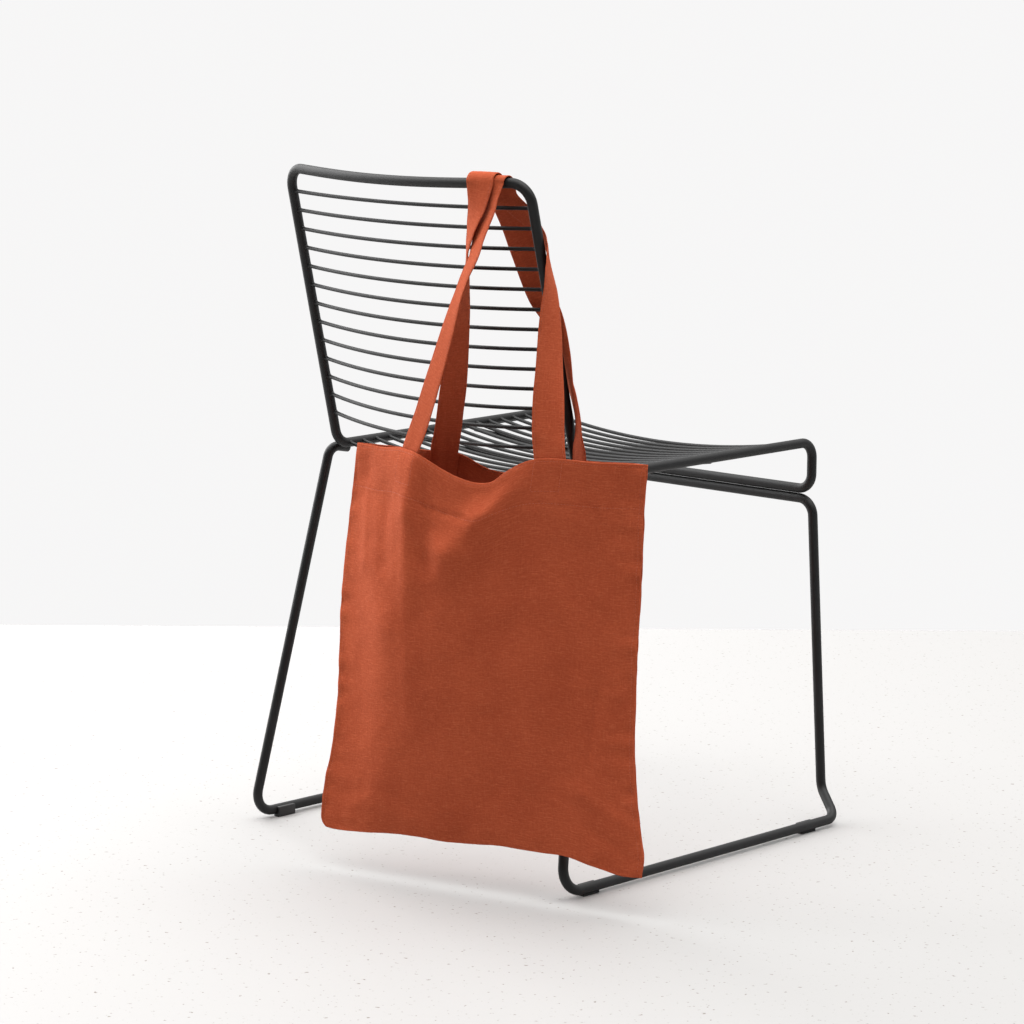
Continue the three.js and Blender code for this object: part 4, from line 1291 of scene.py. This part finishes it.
@dataclass(frozen=True)
class WireChair:
    """Sizes of the chair's tubes and rods, in millimetres, and the pieces built from them.

    The starts are directions that a tube or a rod never runs along, from which its round section is begun.
    """

    tube: float = 5.75
    rod: float = 2.2
    brace: float = 2.8
    top: Triple = (190.7, -79.6, 784.5)
    junction: Triple = (193.8, 0.0, 454.4)
    seat_front: Triple = (203.6, 398.4, 458.7)
    lower_bar: float = 400.9
    top_bend: float = 25.0
    bend_slack: float = 2.0
    junction_bend: float = 22.0
    front_bend: float = 19.0
    rail_bow: float = 21.7
    rail_fullness: float = 1.25
    back_rods: int = 13
    back_rod_top: float = 756.9
    back_rod_pitch: float = 21.95
    back_rod_drop: float = 0.36
    back_bow_first: float = 14.5
    back_bow_step: float = 1.35
    seat_rods: int = 17
    seat_rod_first: float = 16.0
    seat_rod_pitch: float = 22.0
    seat_sag: float = 18.5
    bend_share: float = 0.79
    brace_inset: float = 3.0
    brace_rows: tuple[Pair, ...] = ((130.0, 165.0), (228.0, 262.0))
    frame_start: Triple = (0.45, 0.62, 0.64)
    base_start: Triple = (0.30, -0.70, 0.65)
    rod_start: Triple = (0.0, 0.3, 0.95)
    weld_gap: float = 0.45
    bead: float = 1.0
    bead_reach: float = 2.6
    end_stretch: float = 3.2
    sunk_end: float = 0.5
    tube_sides: int = 28
    rod_sides: int = 14
    base: tuple[Row, ...] = (
        (203.8, 25, 447.3, 0),
        (205.7, -1.5, 452, 14),
        (252.8, -85.5, 8.5, 26),
        (251.5, 396.4, 8.5, 22),
        (216.6, 412.3, 37.5, 20),
        (205.4, 398.4, 389.1, 20),
    )

    def rail_direction(self) -> Array:
        """Direction up the back, in its side view."""
        return unit(np.array([0.0, self.top[1] - self.junction[1], self.top[2] - self.junction[2]]))

    def bow_direction(self) -> Array:
        """Direction in which the back bows: square to it, away from the sitter."""
        up = self.rail_direction()
        return np.array([0.0, -up[2], up[1]])

    def bow(self, x: Array) -> Array:
        """How far the top rail bows: its bow times (1 - (x / half width)^2) to the power of its fullness."""
        return self.rail_bow * np.clip(1 - (x / self.top[0]) ** 2, 0, None) ** self.rail_fullness

    def rail_centre(self, x: Array) -> Array:
        """Centre line of the top rail."""
        straight = np.stack([x, np.full_like(x, self.top[1]), np.full_like(x, self.top[2])], axis=-1)
        return straight + self.bow(x)[..., None] * self.bow_direction()

    def frame_route(self) -> Array:
        """The closed loop of the seat and the back, bent at its corners, with the top rail bowed."""
        x, y, z = self.seat_front
        right = [
            (x, y, self.lower_bar, self.front_bend),
            (x, y, z, self.front_bend),
            (*self.junction, self.junction_bend),
            (*self.top, self.top_bend),
        ]
        line = tube_route(right, joined=True, step=9.0)
        on_rail = line[:, 2:] > self.top[2] - self.top_bend - self.bend_slack
        return line + np.where(on_rail, self.bow(line[:, 0])[:, None] * self.bow_direction(), 0)

    def rod_radii(self, x: Array, end: float) -> Array:
        """A rod's radius along it, with a small weld bead at each end."""
        near = np.clip((np.abs(x) - (end - self.bead_reach)) / self.bead_reach, 0, 1)
        return self.rod + self.bead * np.sin(near * np.pi / 2) ** 2

    def bowed_rod(
        self, end: Array, direction: Array, depth: float, drop: float = 0.0
    ) -> tuple[Array, Array]:
        """A rod from side to side: depth times (1 - (x / end)^2) along a direction, and a drop to one side.

        Args:
            end: Where its +X end is.
            direction: The way that it bows.
            depth: How far it bows.
            drop: How much lower its +X end lies than its other end.

        Returns:
            Its line and its radii, in millimetres.
        """
        reach = end[0] + self.weld_gap + self.sunk_end
        inner = reach - self.end_stretch
        x = stations((-reach, -inner, 5), (-inner, inner, 40), (inner, reach, 5))
        bow = depth * (1 - (x / end[0]) ** 2)
        fall = -drop * (x + end[0]) / (2 * end[0])
        line = np.stack([x, np.full_like(x, end[1]), np.full_like(x, end[2])], axis=1)
        line = line + bow[:, None] * direction + fall[:, None] * self.rail_direction()
        return line, self.rod_radii(x, reach)

    def back_rod(self, index: int) -> tuple[Array, Array]:
        """Line and radii of one of the rods of the back."""
        z = self.back_rod_top - self.back_rod_pitch * index
        share = (z - self.junction[2]) / (self.top[2] - self.junction[2])
        into_bend = max(0.0, self.top_bend - (self.top[2] - z) / self.rail_direction()[2])
        inset = self.tube + self.weld_gap + into_bend**2 / (2 * self.top_bend)
        x = self.junction[0] + (self.top[0] - self.junction[0]) * share - inset
        y = self.junction[1] + (self.top[1] - self.junction[1]) * share
        depth = self.back_bow_first + self.back_bow_step * index
        return self.bowed_rod(np.array([x, y, z]), self.bow_direction(), depth, self.back_rod_drop * index)

    def seat_edge(self, y: float | Array) -> Array:
        """Where a seat rod at y meets the side rail."""
        share = y / self.seat_front[1]
        bend = self.junction_bend * self.bend_share
        rise = np.where(y < bend, 0.5 * (bend - y) ** 2 / self.junction_bend, 0.0)
        x = self.junction[0] + (self.seat_front[0] - self.junction[0]) * share - self.tube - self.weld_gap
        z = self.junction[2] + (self.seat_front[2] - self.junction[2]) * share + rise
        return np.stack(np.broadcast_arrays(x, y, z), axis=-1)

    def seat_rod(self, index: int) -> tuple[Array, Array]:
        """Line and radii of one of the rods of the seat."""
        edge = self.seat_edge(self.seat_rod_first + self.seat_rod_pitch * index)
        return self.bowed_rod(edge, np.array([0.0, 0.0, -1.0]), self.seat_sag)

    def seat_brace(self, end_y: float, middle_y: float) -> Array:
        """Line of a brace under the seat rods, whose y runs from ends to middle by the square of the way."""
        across = np.linspace(-1, 1, 41)
        y = middle_y + (end_y - middle_y) * across**2
        edge = self.seat_edge(y)
        x = (edge[:, 0] - self.brace_inset) * across
        z = edge[:, 2] - self.seat_sag * (1 - (x / edge[:, 0]) ** 2) - self.rod - self.brace - self.weld_gap
        return np.stack([x, y, z], axis=1)

    def build(self, coat: Material) -> None:
        """Makes and dresses the tubes, rods and braces.

        Args:
            coat: The chair's finish.
        """
        loop, base = self.frame_route(), tube_route(self.base, joined=False, step=12.0)
        bars = [
            ("frame_tube", "frame", loop, self.tube, self.tube_sides, self.frame_start),
            ("base_tube", "base", base, self.tube, self.tube_sides, self.base_start),
        ]
        rods = (("back", self.back_rods, self.back_rod), ("seat", self.seat_rods, self.seat_rod))
        for kind, count, make in rods:
            for index in range(count):
                name = f"{kind}_rod_{index + 1:02d}"
                bars.append((f"{name}_wire", name, *make(index), self.rod_sides, self.rod_start))
        for number, rows in enumerate(self.brace_rows, 1):
            name, route = f"seat_brace_{number}", self.seat_brace(*rows)
            bars.append((f"{name}_wire", name, route, self.brace, self.rod_sides, self.rod_start))
        for piece, node, route, radii, sides, reference in bars:
            thick = np.broadcast_to(radii, len(route)) * MM
            made = swept(piece, PLACEMENT.put(route), thick, sides, reference, joined=node == "frame")
            dress(made, coat, Slot.METAL, node)


WIRE = WireChair()


@dataclass(frozen=True)
class Glides:
    """The plastic clips that the runners stand on, in millimetres."""

    length: float = 26.0
    wall: float = 2.6
    rise: float = 4.0
    corner: float = 1.1
    clearance: float = 0.45
    heel: float = 1.5
    drawn_in: tuple[Pair, ...] = ((0.0, 0.10), (0.25, 0.03), (0.8, 0.0))
    places: tuple[tuple[str, str, float], ...] = (
        ("rear", "left", -38.0),
        ("rear", "right", -38.0),
        ("front", "left", 345.0),
        ("front", "right", 345.0),
    )

    def profile(self, height: float, radius: float) -> Array:
        """Outline of a clip square to the runner: flat below, round outer corners, hollow against the tube.

        Args:
            height: The runner's centre over the floor.
            radius: The hollow's radius.

        Returns:
            Places of x and z about the runner's centre, in order round the outline.
        """
        out = radius + self.wall
        c = self.corner
        quarter = np.linspace(0, np.pi / 2, 6)
        low = np.stack([out - c + c * np.sin(quarter), -height + c - c * np.cos(quarter)], axis=1)
        high = np.stack([out - c + c * np.cos(quarter), self.rise - c + c * np.sin(quarter)], axis=1)
        first, last = math.asin(self.rise / radius), -math.pi / 2 - math.asin(self.heel / radius)
        angle = np.linspace(first, last, 24)
        hollow = radius * np.stack([np.cos(angle), np.sin(angle)], axis=1)
        return np.concatenate([[[-self.heel, -height]], low, high, hollow])

    def build(self, plastic: Material) -> None:
        """Makes and dresses the four clips.

        Each is the outline carried along the runner, drawn in a little at both ends for a rounded rim by the
        shares that stand beside each distance from an end.

        Args:
            plastic: The clips' finish.
        """
        foot, front = np.array(WIRE.base[2][:3]), np.array(WIRE.base[3][:3])
        outline = self.profile(foot[2], WIRE.tube + self.clearance)
        centre = outline.mean(axis=0)
        half = self.length / 2
        from_end, inset = np.array([*self.drawn_in, *self.drawn_in[::-1]]).T
        along = np.repeat([-1, 1], len(self.drawn_in)) * (half - from_end)
        for end, side, y in self.places:
            sign = 1 if side == "right" else -1
            x = foot[0] + (front[0] - foot[0]) * (y - foot[1]) / (front[1] - foot[1])
            drawn = outline[None] + (centre - outline)[None] * inset[:, None, None]
            drawn[..., 1] = np.where(outline[None, :, 1] <= -foot[2] + 1e-6, -foot[2], drawn[..., 1])
            runner = np.broadcast_to((y + along)[:, None], drawn.shape[:2])
            ring = np.stack([sign * (x - drawn[..., 0]), runner, drawn[..., 1] + foot[2]], axis=-1)
            count = len(outline)
            points = PLACEMENT.put(ring.reshape(-1, 3))
            quads = grid_quads(len(ring), count, round_columns=True)
            caps = [np.arange(count)[None], np.arange(count)[None, ::-1] + (len(ring) - 1) * count]
            if sign < 0:
                quads = quads[:, ::-1]
                caps = [cap[:, ::-1] for cap in caps]
            piece = mesh_object(f"glide_{end}_{side}_clip", points, [quads, *caps])
            dress(piece, plastic, Slot.GLIDE, f"glide_{end}_{side}")


# The studio


def toward(azimuth: float, elevation: float) -> Vector:
    """Direction by its angle from -Y towards +X and its angle over the level, in degrees."""
    a, e = math.radians(azimuth), math.radians(elevation)
    return Vector((math.sin(a) * math.cos(e), -math.cos(a) * math.cos(e), math.sin(e)))


@dataclass(frozen=True)
class Lamp:
    """A square area light that points at the middle of the scene; angles are in degrees."""

    name: str
    azimuth: float
    elevation: float
    power: float
    distance: float = 3.2
    size: float = 3.0
    aim: Triple = (0.0, 0.0, 0.4)

    def build(self) -> None:
        """Makes the light."""
        data = bpy.data.lights.new(self.name, "AREA")
        data.size = self.size
        data.energy = self.power
        away = toward(self.azimuth, self.elevation) * self.distance
        made = new_object(self.name, data)
        made.location = Vector(self.aim) + away
        made.rotation_mode = "QUATERNION"
        made.rotation_quaternion = (-away).to_track_quat("-Z", "Y")


@dataclass(frozen=True)
class Studio:
    """Camera, floor and light, as the photograph has them."""

    azimuth: float = 43.78
    elevation: float = 9.22
    roll: float = 0.34
    target: Triple = (-32.45, 130.0, 376.78)
    distance: float = 4022.0
    focal_pixels: float = 3400.7
    sensor: float = 36.0
    horizon_row: float = 628.0
    floor_reach: float = 9.0
    sky: Triple = (0.93, 0.925, 0.925)
    dark_sky: Triple = (0.02, 0.02, 0.021)
    dark_azimuth: float = 34.0
    turnover: Pair = (-0.42, 0.42)
    overhead: Triple = (3.95, 3.91, 3.85)
    overhead_reach: Pair = (0.60, 1.0)
    lamps: tuple[Lamp, ...] = (
        Lamp("left_window", -80.0, 24.0, 145.0),
        Lamp("right_window", 112.0, 58.0, 24.0),
    )

    def back(self) -> Vector:
        """Direction from the target to the camera."""
        return toward(self.azimuth, self.elevation)

    def level_right(self) -> Vector:
        """Level direction to the camera's right."""
        a = math.radians(self.azimuth)
        return Vector((math.cos(a), math.sin(a), 0.0))

    def camera_place(self) -> Vector:
        """Where the camera stands."""
        target = PLACEMENT.put(np.array(self.target))
        return Vector(target) + self.back() * self.distance * MM

    def camera(self) -> None:
        """Makes the scene's camera."""
        data = bpy.data.cameras.new("camera")
        data.sensor_width = self.sensor
        data.lens = self.focal_pixels / IMAGE_PIXELS * self.sensor
        made = new_object("camera", data)
        right = self.level_right()
        up = self.back().cross(right)
        turn = math.radians(self.roll)
        right, up = right * math.cos(turn) + up * math.sin(turn), up * math.cos(turn) - right * math.sin(turn)
        turned = Matrix((right, up, self.back())).transposed()
        made.matrix_world = Matrix.Translation(self.camera_place()) @ turned.to_4x4()
        bpy.context.scene.camera = made

    def floor(self) -> None:
        """Makes the floor, whose far edge is level in the picture at the photograph's own row."""
        down = math.atan((self.horizon_row - IMAGE_PIXELS / 2) / self.focal_pixels)
        below = down + math.radians(self.elevation)
        place = self.camera_place()
        far = place.z / math.tan(below)
        ahead = Vector((-self.back().x, -self.back().y, 0.0)).normalized()
        origin = Vector((place.x, place.y, 0.0))
        right = self.level_right()
        spans = [(-self.floor_reach, -1), (-self.floor_reach, 1), (far, 1), (far, -1)]
        corners = [origin + ahead * reach + right * side * self.floor_reach for reach, side in spans]
        made = mesh_object("floor", np.array(corners), [np.array([[0, 1, 2, 3]])])
        made.data.materials.append(FloorPaint().build())

    def light(self) -> None:
        """Makes the soft light: a surround that is dark behind the camera's right shoulder and bright
        overhead, and the lamps."""
        world = bpy.data.worlds.new("surround")
        world.use_nodes = True
        graph = Graph(world.node_tree)
        direction = graph.node("ShaderNodeTexCoord", output="Generated")
        inputs = {0: direction, 1: toward(self.dark_azimuth, 0.0)}
        facing = graph.node("ShaderNodeVectorMath", {"operation": "DOT_PRODUCT"}, inputs, "Value")
        overhead = graph.part(direction, "Z").step(*self.overhead_reach)
        level = graph.mix(facing.step(*self.turnover), self.sky, self.dark_sky)
        colour = graph.mix(overhead, level, self.overhead)
        graph.feed(world.node_tree.nodes["Background"].inputs["Color"], colour)
        bpy.context.scene.world = world
        for lamp in self.lamps:
            lamp.build()
        view = bpy.context.scene.view_settings
        view.view_transform = "Standard"
        view.look = "None"

    def build(self) -> None:
        """Makes the camera, the floor and the lights."""
        self.camera()
        self.floor()
        self.light()


def main() -> None:
    """Builds the studio, the bag and the chair, in that order."""
    logging.basicConfig(level=logging.INFO, format="%(name)s: %(message)s")
    Studio().build()
    ShoppingBag().build()
    WIRE.build(PowderCoat().build())
    Glides().build(GlidePlastic().build())


if __name__ == "__main__":
    main()
